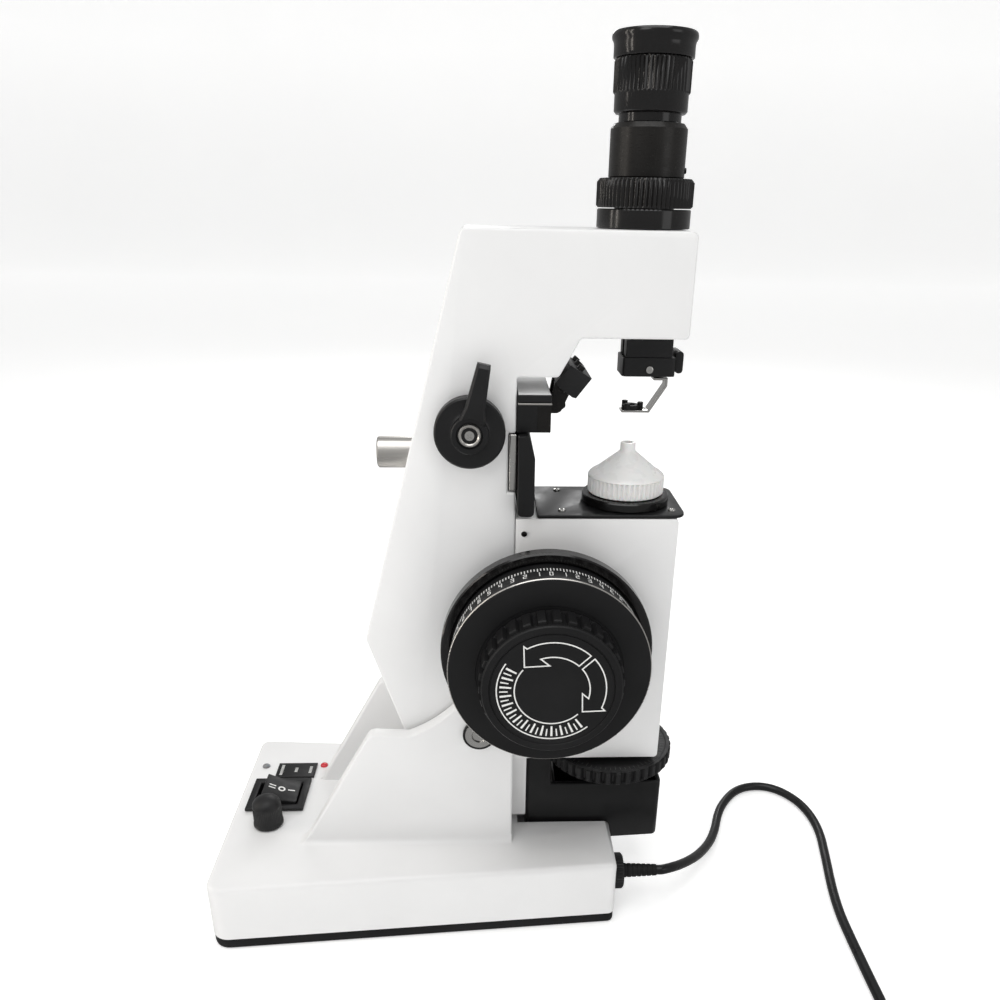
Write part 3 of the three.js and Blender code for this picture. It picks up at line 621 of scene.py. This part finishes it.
def cheek_outline():
    chord = Vector((-3.3 - 30.7, 113.0 - 142.4))
    bow = 3.9
    reach = (bow * bow + chord.length_squared / 4) / (2 * bow)
    start = Vector((30.7, 142.4))
    left = Vector((-chord.y, chord.x)).normalized()
    centre = start + chord / 2 + left * (bow - reach)
    sweep = 2 * math.asin(chord.length / (2 * reach))
    hollow = [tuple(centre + Matrix.Rotation(-sweep * step / 14, 2) @ (start - centre))
              for step in range(15)]
    crest = rounded([(54, BASE_TOP - 6), (54, 155), (39, 155), (30.7, 142.4)], [0, 0, 10, 0], 6)
    heel = rounded([(-3.3, 113), (-24.4, 114.2), (-68.6, BASE_TOP - 6)], [0, 6, 0], 8)
    return crest[:-1] + hollow[:-1] + heel


def cheek_foot(side):
    """The hollow fillet that spreads from a cheek's outer face and heel onto the base."""
    radius = 4.0
    layers = []
    for step in range(11):
        rise = radius * (1 - math.cos(step * math.pi / 20))
        spread = radius * (1 - math.sin(step * math.pi / 20))
        heel = -65.2 + 0.565 * rise - 0.9 * spread
        outline = [(heel, -35.0 - spread), (53.9, -35.0 - spread), (53.9, -27.0), (heel + 0.5, -27.0)]
        outline = rounded(outline, [spread + 0.4, 0, 0, 0], 6)
        if step == 0:
            layers.append((outline, BASE_TOP - 5))
        layers.append((outline, BASE_TOP + rise))
    foot = layered("cheek_foot", layers)
    if side > 0:
        foot.data.transform(Matrix.Scale(-1, 4, (0, 1, 0)))
        foot.data.flip_normals()
    return foot


def base_casting():
    edge = 3.4
    layers = [(base_outline(), SHELL_BOTTOM)]
    for step in range(7):
        angle = step * math.pi / 12
        height = BASE_TOP - edge * (1 - math.sin(angle))
        layers.append((base_outline(edge * (1 - math.cos(angle))), height))
    casting = layered("base_casting", layers)
    for side in (-1, 1):
        ys = sorted((side * 26.2, side * 35.0))
        cheek = settle(soften(side_prism("cheek", cheek_outline(), *ys), 1.3, 3, clamp=False))
        combine(casting, "UNION", cheek)
        combine(casting, "UNION", cheek_foot(side))
    cuts = [
        prism("room", base_outline(4.0), 0, BASE_TOP - 4),
        block("slot", (58, 120), (-19, 19), (24, 60)),
        pivot_bore(),
        block("switch_hole", (-103.8, -73.8), (-3, 23), (30, 60)),
        bar("dimmer_hole", 3.6, 30, 50, upright(KNOB_X, KNOB_Y), 24),
        bar("gland_hole", 5.3, 100, 120, along_x(0, GLAND_Y, GLAND_Z), 24),
    ]
    wall = block("slot_wall", (54, 120), (-23, 23), (20, 60))
    combine(cuts[0], "DIFFERENCE", wall)
    combine(casting, "DIFFERENCE", *cuts)
    stand_in(smooth(casting, 24), "base_shell", "near_cheek", "far_cheek")


def bottom_plate():
    layers = [(base_outline(inset), height) for inset, height in
              ((2.2, 0), (1.3, 0.3), (0.6, 1.0), (0.3, 2.2), (0.3, PLATE_TOP - 0.4), (0.7, PLATE_TOP))]
    stand_in(smooth(layered("bottom_plate_moulded", layers), 40), "bottom_plate")


def pivot_caps():
    for name, turn in (("near_pivot_cap", 1), ("far_pivot_cap", -1)):
        place = Matrix.Translation((PIVOT_X, 0, PIVOT_Z)) @ Matrix.Rotation(turn * math.pi / 2, 4, "X")
        rim = [(7.6, 35.3), (9, 35.3), (9, 36.9), (8.7, 37.2), (8.2, 37.2), (7.6, 36.8)]
        trim(smooth(turned(name + "_rim", rim, place, 64)), name, LOOKS["black_plastic"])
        disc = [(0, 35.3), (8.3, 35.3), (8.3, 36.4), (7.7, 37.1), (4.2, 37.5), (3.6, 36.6), (0, 36.6)]
        stand_in(smooth(turned(name + "_disc", disc, place, 64)), name, material=BRIGHT)


# ---------------------------------------------------------------- switch panel

def rocker_marks():
    """The two, nought and one bars that say which way the rocker is set."""
    tilt = Matrix.Translation((-88.8, 10, 40.5)) @ Matrix.Rotation(math.radians(17), 4, "Y")
    slope = math.atan2(1.4, 10.6)
    for number, (side, shift) in enumerate(((-1, 1.2), (-1, -1.2), (1, 0)), 1):
        place = tilt @ Matrix.Translation((side * 5.9, 0, 7.58)) @ Matrix.Rotation(-side * slope, 4, "Y")
        mark = [(-2.1, shift - 0.45), (2.1, shift - 0.45), (2.1, shift + 0.45), (-2.1, shift + 0.45)]
        trim(prism(f"rocker_bar_{number}", mark, -0.1, 0.06, place), "rocker", PRINT)
    ring = [(1.25, -0.3), (2.2, -0.3), (2.2, 0.15), (1.25, 0.15)]
    nought = turned("rocker_nought", ring, tilt @ Matrix.Translation((0, 0, 7.0)), 48)
    trim(smooth(nought), "rocker", PRINT)


def label_marks():
    """Plain bars where a real panel is lettered, and the raised frame round them."""
    for number, (x, rows) in enumerate(((-92.0, 9), (-82.9, 4), (-73.8, 6)), 1):
        for row in range(rows):
            y = 35.6 + (row - (rows - 1) / 2) * 1.25
            trim(block(f"label_bar_{number}_{row + 1}", (x - 0.9, x + 0.9), (y - 0.32, y + 0.32),
                       (43.3, 43.44)), "label_plate", PRINT)
    outer = [(-95.0, 28.2), (-70.7, 28.2), (-70.7, 43.2), (-95.0, 43.2)]
    border = prism("label_frame", outer, 43.2, 43.42)
    inner = block("inside", (-94.2, -71.5), (29.0, 42.4), (43, 44))
    trim(soften(combine(border, "DIFFERENCE", inner), 0.08, 1), "label_plate", LOOKS["black_plastic"])


def brightness_knob():
    place = upright(KNOB_X, KNOB_Y)
    bottom = 42.6
    shoulder = bottom + 13
    profile = [(0, bottom), (8.2, bottom), (8.6, bottom + 0.5), (8.6, bottom + 1.6), (8.3, bottom + 2.0),
               (8.3, bottom + 2.2, 1), (8.3, shoulder - 1, 1), (8.25, shoulder)]
    for step in range(1, 10):
        angle = step * math.pi / 18
        profile.append((8.25 * math.cos(angle), shoulder + 6 * math.sin(angle)))
    profile.append((0, shoulder + 6))
    knob = turned("brightness_knob_cap", profile, place, teeth=48, depth=0.28, pattern=(0, 0.7, 1, 0.7))
    stand_in(smooth(knob, 40), "brightness_knob")


def panel_lamps():
    for node, place in (("grey_led", upright(-103.5, 41.6)), ("red_led", upright(-66.2, 42.1))):
        profile = [(0, 41.4), (2.4, 41.4), (2.4, 42.5), (2.2, 43.0), (1.7, 43.4), (0.9, 43.7), (0, 43.8)]
        stand_in(smooth(turned(node + "_dome", profile, place, 40), 50), node)


def switch_panel():
    refined("rocker_frame", 0.7)
    refined("rocker", 0.6)
    refined("label_plate", 0.25, 2)
    rocker_marks()
    label_marks()
    brightness_knob()
    panel_lamps()


# ---------------------------------------------------------------- body

def back_edge(z):
    return -24.2 + 0.261 * (z - 167.6)


def body_shell():
    corners = [
        (back_edge(368.6), 368.6), (-24.2, 167.6), (-5.8, 110.2), (0.2, 92), (54, 92), (54, 248.8),
        (50.2, 248.8), (50.2, 278.2), (54, 278.2), (54, 304.5), (73.6, 304.5), (83.6, 322.3),
        (134, 322.3), (134, 368.6),
    ]
    outline = rounded(corners, [3.2, 0, 0, 0, 0, 0, 0, 0, 0, 1.0, 2.4, 1.5, 2.4, 3.2], 6)
    shell = side_prism("body_shell", outline, -BODY_HALF, BODY_HALF)
    settle(soften(shell, 1.3, 4, clamp=False))
    inside = BODY_HALF - 3.2
    room = [
        (back_edge(365.4) + 3.2, 365.4), (-20.8, 167.6), (-2.4, 111), (2.5, 95.2), (50.8, 95.2),
        (50.8, 244), (47, 246), (47, 281.5), (50.8, 283), (50.8, 307.7), (71.7, 307.7),
        (81.7, 325.5), (130.8, 325.5), (130.8, 365.4),
    ]
    cuts = [
        side_prism("room", room, -inside, inside),
        block("front_hole", (45, 60), (-19, 19), (100, 228)),
        pivot_bore(),
        bar("lever_bore", 4.3, 15, 40, facing_right(LEVER_X, LEVER_Z), 32),
        bar("rod_bore", 8.3, -20, 60, along_x(0, 0, ROD_Z)),
        bar("top_port", 14, 350, 380, upright(AXIS_X, 0)),
        bar("floor_port", 9, 310, 330, upright(AXIS_X, 0)),
        bar("slider_port", 2.4, 310, 330, upright(126, 0), 24),
    ]
    combine(shell, "DIFFERENCE", *cuts)
    stand_in(smooth(shell, 24), "column", "head")
    neck = block("column_neck", (24, 62.7), (-18.5, 18.5), (47, 91.8))
    trim(soften(combine(neck, "DIFFERENCE", pivot_bore()), 1.0), "column", LOOKS["white_paint"])


def optics_box():
    refined("optics_box", 1.0)
    seat = Matrix.Translation((58.6, -BODY_HALF, 227)) @ along_y()
    pan_screw("box_screw", "optics_box", 1.5, 0.6, seat, GLOSS)


# ---------------------------------------------------------------- lens stop

def stop_and_plate():
    refined("stop_plate", 0.35, 2)
    for number, (x, y) in enumerate(((78, 17.5), (78, -17.5), (134.5, 17), (134.5, -17)), 1):
        pan_screw(f"plate_screw_{number}", "stop_plate", 1.9, 1.1, upright(x, y, 236.9), turn=number)
    axis = upright(AXIS_X, 0)
    ring = [(11.5, 222), (14.7, 222), (14.7, 237.2), (22.3, 237.2), (22.7, 237.6), (22.7, 241.1),
            (22.1, 241.7), (21.0, 241.9), (11.5, 241.9)]
    stand_in(smooth(turned("stop_ring_turned", ring, axis, 128)), "stop_ring", material=GLOSS)
    nose = [(12, 242.3), (18.9, 242.3), (19.2, 242.6), (19.8, 243.0, 1), (19.8, 250.6, 1), (19.75, 251.1),
            (19.2, 252.0), (18.0, 252.9), (15.6, 254.4), (4.6, 263.3), (4.1, 263.9), (3.9, 264.6),
            (3.9, 267.7), (3.6, 268.1), (2.3, 268.2), (2.0, 267.9), (2.0, 262), (9, 254), (12, 250)]
    cone = turned("lens_stop_nose", nose, axis, teeth=46, depth=1.1, pattern=(0, 0, 1, 1))
    stand_in(smooth(cone, 38), "lens_stop")


# ---------------------------------------------------------------- power drum

def drum_pieces():
    place = facing_right(DRUM_X, DRUM_Z)
    shroud = [(9.3, 25.5), (14, 25.5), (14, 36.4), (53.9, 36.4), (54.5, 37.0), (54.5, 43.2), (53.8, 44),
              (50.3, 44), (49.7, 43.4), (49.7, 41), (9.3, 41)]
    stand_in(smooth(turned("drum_shroud_turned", shroud, place, 160)), "drum_shroud", material=GLOSS)
    scale = [(0, 6), (9, 6), (9, 41.4), (49, 41.4), (49, 61.7), (0, 61.7)]
    stand_in(smooth(turned("scale_drum_turned", scale, place, 160)), "scale_drum", material=DRUM)
    face = [(0, 62), (50, 62), (50.4, 62.4), (50.4, 65.1), (49.7, 65.9), (48.9, 66), (36.6, 66),
            (36.3, 65.8), (0, 65.8)]
    stand_in(smooth(turned("drum_face_turned", face, place, 160)), "drum_face", material=DRUM)
    edge = [(50.2, 64.9), (50.5, 65.0), (50.4, 65.25), (50.15, 65.5), (49.9, 65.5)]
    trim(smooth(turned("drum_face_edge", edge, place, 160)), "drum_face", LOOKS["steel"])
    grip = [(0, 66.3), (34.6, 66.3), (35.3, 66.9, 1), (35.3, 78.2, 1), (34.8, 79, 1), (33.2, 79.4),
            (33.2, 79.9), (34, 80.4), (34, 82), (33.4, 82.7), (30.4, 82.8), (30.0, 82.3), (29.7, 82.3),
            (29.5, 82.7), (0, 82.7)]
    teeth = (0, 0, 0, 0, 0, 1, 1, 1)
    knob = turned("drum_knob_moulded", grip, place, teeth=30, depth=2.3, pattern=teeth)
    stand_in(smooth(knob, 30), "drum_knob", material=DRUM)


def ring_strip(name, radius, start, end, place):
    outline = arc(radius + LINE / 2, start, end, 40) + arc(radius - LINE / 2, end, start, 40)
    return prism(name, outline, LABEL_FLOOR, LABEL_TOP, place)


def stroke(name, points, place):
    """A thin raised line that closes on itself."""
    loop = [Vector(point) for point in points]
    count = len(loop)
    inner, outer = [], []
    for i, point in enumerate(loop):
        before = (point - loop[i - 1]).normalized()
        after = (loop[(i + 1) % count] - point).normalized()
        normal = Vector((-(before + after).y, (before + after).x)).normalized()
        share = max(0.35, math.cos(before.angle(after) / 2))
        inner.append(point + normal * (LINE / 2 / share))
        outer.append(point - normal * (LINE / 2 / share))
    vertices = [place @ Vector((*point, level)) for level in (LABEL_FLOOR, LABEL_TOP)
                for point in inner + outer]
    faces = []
    for i in range(count):
        j = (i + 1) % count
        low = (i, j, count + j, count + i)
        faces.append(low)
        faces.append(tuple(2 * count + corner for corner in low))
        faces.append((i, j, 2 * count + j, 2 * count + i))
        faces.append((count + i, count + j, 3 * count + j, 3 * count + i))
    return new_piece(name, vertices, faces)


def polar(radius, angle):
    return (radius * math.cos(math.radians(angle)), radius * math.sin(math.radians(angle)))


def drum_label():
    place = facing_right(DRUM_X, DRUM_Z)
    left_arrow = (arc(25.6, 46.5, 119, 20) + [polar(27.4, 120.5), polar(18.6, 136.5), polar(13.6, 97)]
                  + arc(18.0, 109, 47.5, 16))
    right_arrow = (arc(18.0, 40, -14, 16) + [polar(14.5, -6.5), polar(18.8, -38), polar(27.9, -23.5)]
                   + arc(25.8, -21.5, 41, 18))
    for name, outline in (("left", left_arrow), ("right", right_arrow)):
        trim(stroke(f"knob_arrow_{name}", outline, place), "drum_knob", PRINT)
    trim(ring_strip("knob_band_outer", 26.6, 146.5, 311.4, place), "drum_knob", PRINT)
    trim(ring_strip("knob_band_inner", 18.1, 141, 314.6, place), "drum_knob", PRINT)
    marks = 27
    for number in range(marks):
        angle = 151 + (306.5 - 151) * number / (marks - 1)
        low, high = (19.6, 25.2) if number % 2 == 0 else (21.2, 25.2)
        half = 1.25 if number % 2 == 0 else 0.8
        outline = arc(high, angle - half, angle + half, 2) + arc(low, angle + half, angle - half, 2)
        trim(prism(f"knob_mark_{number + 1}", outline, LABEL_FLOOR, LABEL_TOP, place), "drum_knob", PRINT)


DIGIT_BARS = {
    "top": ((0, 4), (2, 4)), "middle": ((0, 2), (2, 2)), "bottom": ((0, 0), (2, 0)),
    "upper_left": ((0, 2), (0, 4)), "lower_left": ((0, 0), (0, 2)),
    "upper_right": ((2, 2), (2, 4)), "lower_right": ((2, 0), (2, 2)),
}
DIGITS = (
    "top bottom upper_left lower_left upper_right lower_right", "upper_right lower_right",
    "top upper_right middle lower_left bottom", "top upper_right middle lower_right bottom",
    "upper_left middle upper_right lower_right", "top upper_left middle lower_right bottom",
    "top upper_left middle lower_left lower_right bottom", "top upper_right lower_right",
    "top middle bottom upper_left lower_left upper_right lower_right",
    "top middle bottom upper_left upper_right lower_right",
)


def digit_shapes(number, angle, height, degrees_per_mm):
    """The bars of a number, centred on an angle, its foot at a height, reading from the front."""
    half = 0.24
    size = 0.98
    shapes = []
    text = str(number)
    for place, figure in enumerate(text):
        shift = (place - (len(text) - 1) / 2) * 2.6
        for stretch in DIGITS[int(figure)].split():
            (x0, y0), (x1, y1) = DIGIT_BARS[stretch]
            left = (x0 - 1) * size * 0.75 - half + shift
            right = (x1 - 1) * size * 0.75 + half + shift
            foot = height - (y0 * size - half)
            crown = height - (y1 * size + half)
            shapes.append([(angle - left * degrees_per_mm, foot), (angle - right * degrees_per_mm, foot),
                           (angle - right * degrees_per_mm, crown), (angle - left * degrees_per_mm, crown)])
    return shapes


def drum_scale():
    """Power marks round the scale drum: quarters of a dioptre, with each whole dioptre numbered."""
    place = facing_right(DRUM_X, DRUM_Z)

    def on_drum(corner, reach):
        angle, height = corner
        return place @ Vector((*polar(reach, angle), height))

    radius = 49.0
    step = 1.87
    per_mm = 360 / (2 * math.pi * radius)
    half = 0.26 * per_mm
    start = 49.0
    shapes = []
    for mark in range(-75, 76):
        angle = 90 + mark * step
        length = 3.6 if mark % 4 == 0 else 2.6
        shapes.append([(angle - half, start), (angle + half, start), (angle + half, start + length),
                       (angle - half, start + length)])
        if mark % 4 == 0:
            shapes += digit_shapes(abs(mark) // 4, angle, 57.8, per_mm)
    marks = raised("drum_scale_marks", shapes, radius - 0.1, radius + 0.08, on_drum)
    trim(marks, "scale_drum", PRINT)


# ---------------------------------------------------------------- lamp house and axis wheel

def lamp_house():
    half = 17.0
    outline = rounded([(63, -half), (115, -half), (143.5, -half + 2), (143.5, half - 2), (115, half),
                       (63, half)], [2.5, 0, 3.5, 3.5, 0, 2.5], 5)
    tray = prism("lamp_house_casting", outline, 28, 68)
    post = prism("post", rounded([(63, -half), (77.5, -half), (77.5, half), (63, half)],
                                 [2.5, 0, 0, 2.5], 5), 60, 91.7)
    combine(tray, "UNION", post)
    settle(soften(merged(tray), 1.6, 4, 40))
    cuts = [
        block("room", (80, 140.5), (-half + 3, half - 3), (31, 100)),
        bar("wheel_room", 38.3, 79, 100, upright(AXIS_X, 0), 96),
    ]
    combine(tray, "DIFFERENCE", *cuts)
    socket = turned("socket", [(0, 29), (6, 29), (6, 43.6), (5.6, 44), (0, 44)], upright(AXIS_X, 0), 40)
    stand_in(smooth(combine(tray, "UNION", socket), 30), "lamp_house")


def axis_wheel():
    axis = upright(AXIS_X, 0)
    rim = [(10.5, 81), (36.4, 81), (37, 81.6, 1), (37, 88.2, 1), (36.2, 89), (34.2, 89), (33.6, 88.6),
           (13, 88.6), (13, 112), (10.5, 112)]
    wheel = turned("axis_wheel_moulded", rim, axis, teeth=40, depth=2.0, pattern=(0, 0, 0, 1, 1))
    stand_in(smooth(wheel, 30), "axis_wheel")
    outlines = []
    for mark in range(72):
        low, high = (29.4, 32.8) if mark % 6 == 0 else (30.8, 32.8)
        centre = mark * 5
        outlines.append(arc(high, centre - 0.3, centre + 0.3, 1) + arc(low, centre + 0.3, centre - 0.3, 1))
    marks = raised("axis_wheel_marks", outlines, 88.5, 88.68,
                   lambda corner, level: axis @ Vector((*corner, level)))
    trim(marks, "axis_wheel", FAINT)


# ---------------------------------------------------------------- lens table, lever

def lens_table():
    refined("lens_table", 1.2, 4)
    refined("table_carriage", 0.9, 3, BRIGHT)
    place = along_x(0, 0, ROD_Z)
    rod = [(0, -15.5), (7.2, -15.5), (8, -14.8), (8, 50.3), (0, 50.3)]
    stand_in(smooth(turned("guide_rod_turned", rod, place, 64)), "guide_rod")


def table_lever():
    place = facing_right(LEVER_X, LEVER_Z)
    disc = [(0, 25.6), (16.5, 25.6), (17, 26.1), (17, 32.3), (16.2, 33.1), (10.4, 33.1), (9.2, 33.8),
            (8.9, 37.0), (8.3, 37.5), (6.4, 37.5), (5.9, 36.4), (0, 36.4)]
    stand_in(smooth(turned("lever_disc", disc, place, 96)), "table_lever", material=LOOKS["black_paint"])
    washer = [(3.9, 36.2), (5.5, 36.2), (5.5, 36.9), (5.1, 37.3), (4.4, 37.3), (3.9, 36.9)]
    trim(smooth(turned("lever_washer", washer, place, 48)), "table_lever", LOOKS["steel"])
    head = place @ Matrix.Translation((0, 0, 36.4))
    pan_screw("lever_screw", "table_lever", 2.5, 0.9, head, turn=0.9)
    sections = [(0.0, 7.4, 37.0), (7.0, 6.2, 39.0), (13.0, 4.7, 39.9), (22.0, 4.0, 39.9),
                (31.6, 3.3, 38.6), (33.3, 3.1, 36.6)]
    layers = []
    for along, half, top in sections:
        ring = [(-half, 33.0), (half, 33.0), (half, top - 1.6), (half - 1.2, top), (-half + 1.2, top),
                (-half, top - 1.6)]
        layers.append((ring, -along))
    lean = place @ Matrix.Rotation(math.radians(LEVER_LEAN), 4, "Z") @ along_y()
    handle = layered("lever_handle", layers, lean)
    combine(handle, "DIFFERENCE", bar("hub_room", 8.4, 30, 45, place, 64))
    trim(soften(handle, 0.35, 2), "table_lever", LOOKS["black_paint"])


# ---------------------------------------------------------------- retainer

def retainer():
    refined("retainer_upper_block", 0.5)
    refined("retainer_lower_block", 0.8)
    refined("retainer_slider", 0.5)
    refined("retainer_arm", 0.25, 2, BRIGHT)
    refined("retainer_pad", 0.25, 2)
    seat = Matrix.Translation((118.9, -10, 306.1)) @ along_y()
    pan_screw("retainer_screw", "retainer_lower_block", 1.9, 0.9, seat)


# ---------------------------------------------------------------- marker

def marker():
    refined("ink_pad_block", 0.5)
    refined("ink_pad_lid", 0.6)
    top = block("ink_pad_cover", (54.8, 70.1), (-25.4, 25.4), (296.5, 296.8))
    trim(top, "ink_pad_lid", LOOKS["white_paint"])
    strip = soften(block("ink_pad_tray", (54.6, 70.8), (-26.1, 26.1), (291.9, 292.7)), 0.15, 2)
    trim(strip, "ink_pad_block", LOOKS["steel"])
    side = soften(block("ink_pad_side", (63.9, 70.4), (-26.2, -25.9), (279.2, 291.5)), 0.08, 1)
    trim(side, "ink_pad_block", LOOKS["black_anodised"])
    arm_plates()
    refined("pen_holder", 0.5)
    lip = side_prism("holder_lip", [(72.7, 301.6), (73.3, 302.3), (80.2, 309.4), (79.4, 309.3)], -19.9, 19.9)
    trim(soften(lip, 0.1, 1), "pen_holder", LOOKS["black_anodised"])
    for number in range(1, 4):
        refined(f"marking_pen_{number}", 0.2, 2, LOOKS["black_anodised"])


def arm_plates():
    """Thin plates in a stack on each side of the hinge, held by the cross pin."""
    outline = rounded([(70.6, 286), (76, 284.6), (80.4, 294.3), (73.2, 299.8)], [2, 2, 0, 0], 5)
    plates = []
    for side in (-1, 1):
        for layer in range(3):
            near = 6.3 + layer * 1.3
            ys = sorted((side * near, side * (near + 0.95)))
            plates.append(side_prism("plate", outline, *ys))
    pin = bar("marker_arm_plates", 1.5, -9.9, 9.9, facing_right(73.5, 288.5), 24)
    combine(pin, "UNION", *plates)
    stand_in(soften(pin, 0.15, 1), "marker_arm")


# ---------------------------------------------------------------- eyepiece

def eyepiece():
    axis = upright(AXIS_X, 0)
    collar = [(14, 368.9), (21.3, 368.9), (21.6, 369.2), (21.6, 376.5), (21.2, 377), (14, 377)]
    stand_in(smooth(turned("telescope_collar_turned", collar, axis, 128)), "telescope_collar",
             material=GLOSS)
    ring = [(14, 377.4), (21.3, 377.4), (22.2, 378.3, 1), (22.2, 388.0, 1), (20.9, 389.6), (14, 389.6)]
    knurl = (0, 0.5, 1, 0.5)
    stand_in(smooth(turned("reticle_ring_knurled", ring, axis, teeth=62, depth=1.1, pattern=knurl), 50),
             "reticle_ring", material=GLOSS)
    barrel = [(11, 366), (13.7, 366), (13.7, 389.9), (16.9, 389.9), (17.2, 390.2), (17.2, 409.4),
              (15.6, 411.5), (11, 411.5)]
    stand_in(smooth(turned("eyepiece_barrel_turned", barrel, axis, 128)), "eyepiece_barrel")
    tube = [(8.5, 395), (10.7, 395), (10.7, 411.9), (13.9, 411.9), (13.9, 415.1), (15.4, 415.2),
            (16.3, 416.2), (16.3, 422.6), (16.6, 423.0), (17, 423.6, 1), (17, 435.2, 1), (16.4, 436),
            (12.5, 436), (12.5, 440), (8.5, 440)]
    stand_in(smooth(turned("dioptre_tube_turned", tube, axis, teeth=52, depth=1.0, pattern=knurl), 50),
             "dioptre_tube", material=GLOSS)
    cup = [(12.8, 436.3), (17.3, 436.3), (17.6, 436.6), (17.6, 441.0), (17.8, 442.2), (18.5, 443.4),
           (18.6, 444.4), (18.4, 445.4), (17.8, 446), (17.2, 445.9), (16.4, 444.6), (14.4, 441.2),
           (12.8, 440.6)]
    stand_in(smooth(turned("eyecup_turned", cup, axis, 128), 50), "eyecup", material=GLOSS)
    lens = [(0, 434), (8.2, 434), (8.2, 436.6), (6.4, 437.3), (4.4, 437.7), (2.2, 437.95), (0, 438)]
    stand_in(smooth(turned("eye_lens_polished", lens, axis, 64), 50), "eye_lens")
    round_axis = upright(AXIS_X, 0, 393.0) @ Matrix.Rotation(math.radians(-12), 4, "Z")
    side = round_axis @ along_x(17.1, 0, 0)
    pan_screw("barrel_screw", "eyepiece_barrel", 1.3, 0.9, side, GLOSS)


# ---------------------------------------------------------------- what is left of the CAD

def finish_cad_nodes():
    """Gives each CAD node that still shows the material of its slot."""
    for name, node in NODES.items():
        node.data.materials.clear()
        node.data.materials.append(LOOKS[SLOTS[name]])


# ---------------------------------------------------------------- stage

def stage():
    """A pale floor that curves up into a pale backdrop."""
    back, bend, height = 4500, 1200, 9000
    profile = [(-6000, 0), (back, 0)]
    profile += [(back + bend * math.sin(step * math.pi / 24), bend * (1 - math.cos(step * math.pi / 24)))
                for step in range(1, 13)]
    profile.append((back + bend, height))
    vertices = [(x, y, z - 0.05) for x in (-12000, 12000) for y, z in profile]
    count = len(profile)
    floor = new_piece("floor", vertices, [(i, i + 1, count + i + 1, count + i) for i in range(count - 1)])
    surface = Surface("floor", (0.9, 0.9, 0.895), 0.8, Emission_Color=(1, 1, 1, 1), Emission_Strength=0.42)
    floor.data.materials.append(surface.mottle(2, 0.01).sheen_break(6, 0.05).done())
    smooth(floor)
    floor.visible_glossy = False


def area_light(name, place, target, size, power, colour=(1, 1, 1)):
    data = bpy.data.lights.new(name, "AREA")
    data.shape = "RECTANGLE"
    data.size, data.size_y = size
    data.energy = power
    data.color = colour
    light = bpy.data.objects.new(name, data)
    light.location = place
    light.rotation_euler = (Vector(target) - Vector(place)).to_track_quat("-Z", "Y").to_euler()
    light.visible_camera = False
    bpy.context.scene.collection.objects.link(light)


def lights():
    area_light("key", (-0.9, -1.3, 1.3), (0.05, 0, 0.2), (0.8, 0.8), 4.6)
    area_light("strip_left", (-1.1, -0.3, 0.5), (0.1, 0, 0.35), (0.05, 1.3), 2.4, (1, 0.93, 0.85))
    area_light("strip_left_rear", (-1.1, 0.05, 0.5), (0.1, 0, 0.35), (0.05, 1.3), 1.6, (1, 0.93, 0.85))
    area_light("fill_right", (1.3, -1.0, 0.7), (0.05, 0, 0.2), (0.7, 0.9), 1.9)
    area_light("top", (0.0, -0.4, 1.6), (0.03, -0.03, 0.1), (1.3, 1.1), 10)
    for number, x in enumerate((-0.05, 0.45), 1):
        area_light(f"window_{number}", (x, 1.6, 1.05), (0.07, 0, 0.2), (0.1, 0.5), 2.2)
    world = bpy.data.worlds.new("studio")
    world.use_nodes = True
    world.node_tree.nodes["Background"].inputs["Color"].default_value = (1, 1, 1, 1)
    world.node_tree.nodes["Background"].inputs["Strength"].default_value = 0.38
    bpy.context.scene.world = world
    bpy.context.scene.view_settings.view_transform = "Standard"


# ---------------------------------------------------------------- the whole

make_camera()
lead = make_lead()
make_gland()
plug = make_plug()
bottom_plate()
base_casting()
pivot_caps()
switch_panel()
body_shell()
optics_box()
stop_and_plate()
drum_pieces()
drum_label()
drum_scale()
lamp_house()
axis_wheel()
lens_table()
table_lever()
retainer()
marker()
eyepiece()
finish_cad_nodes()
stage()
lights()
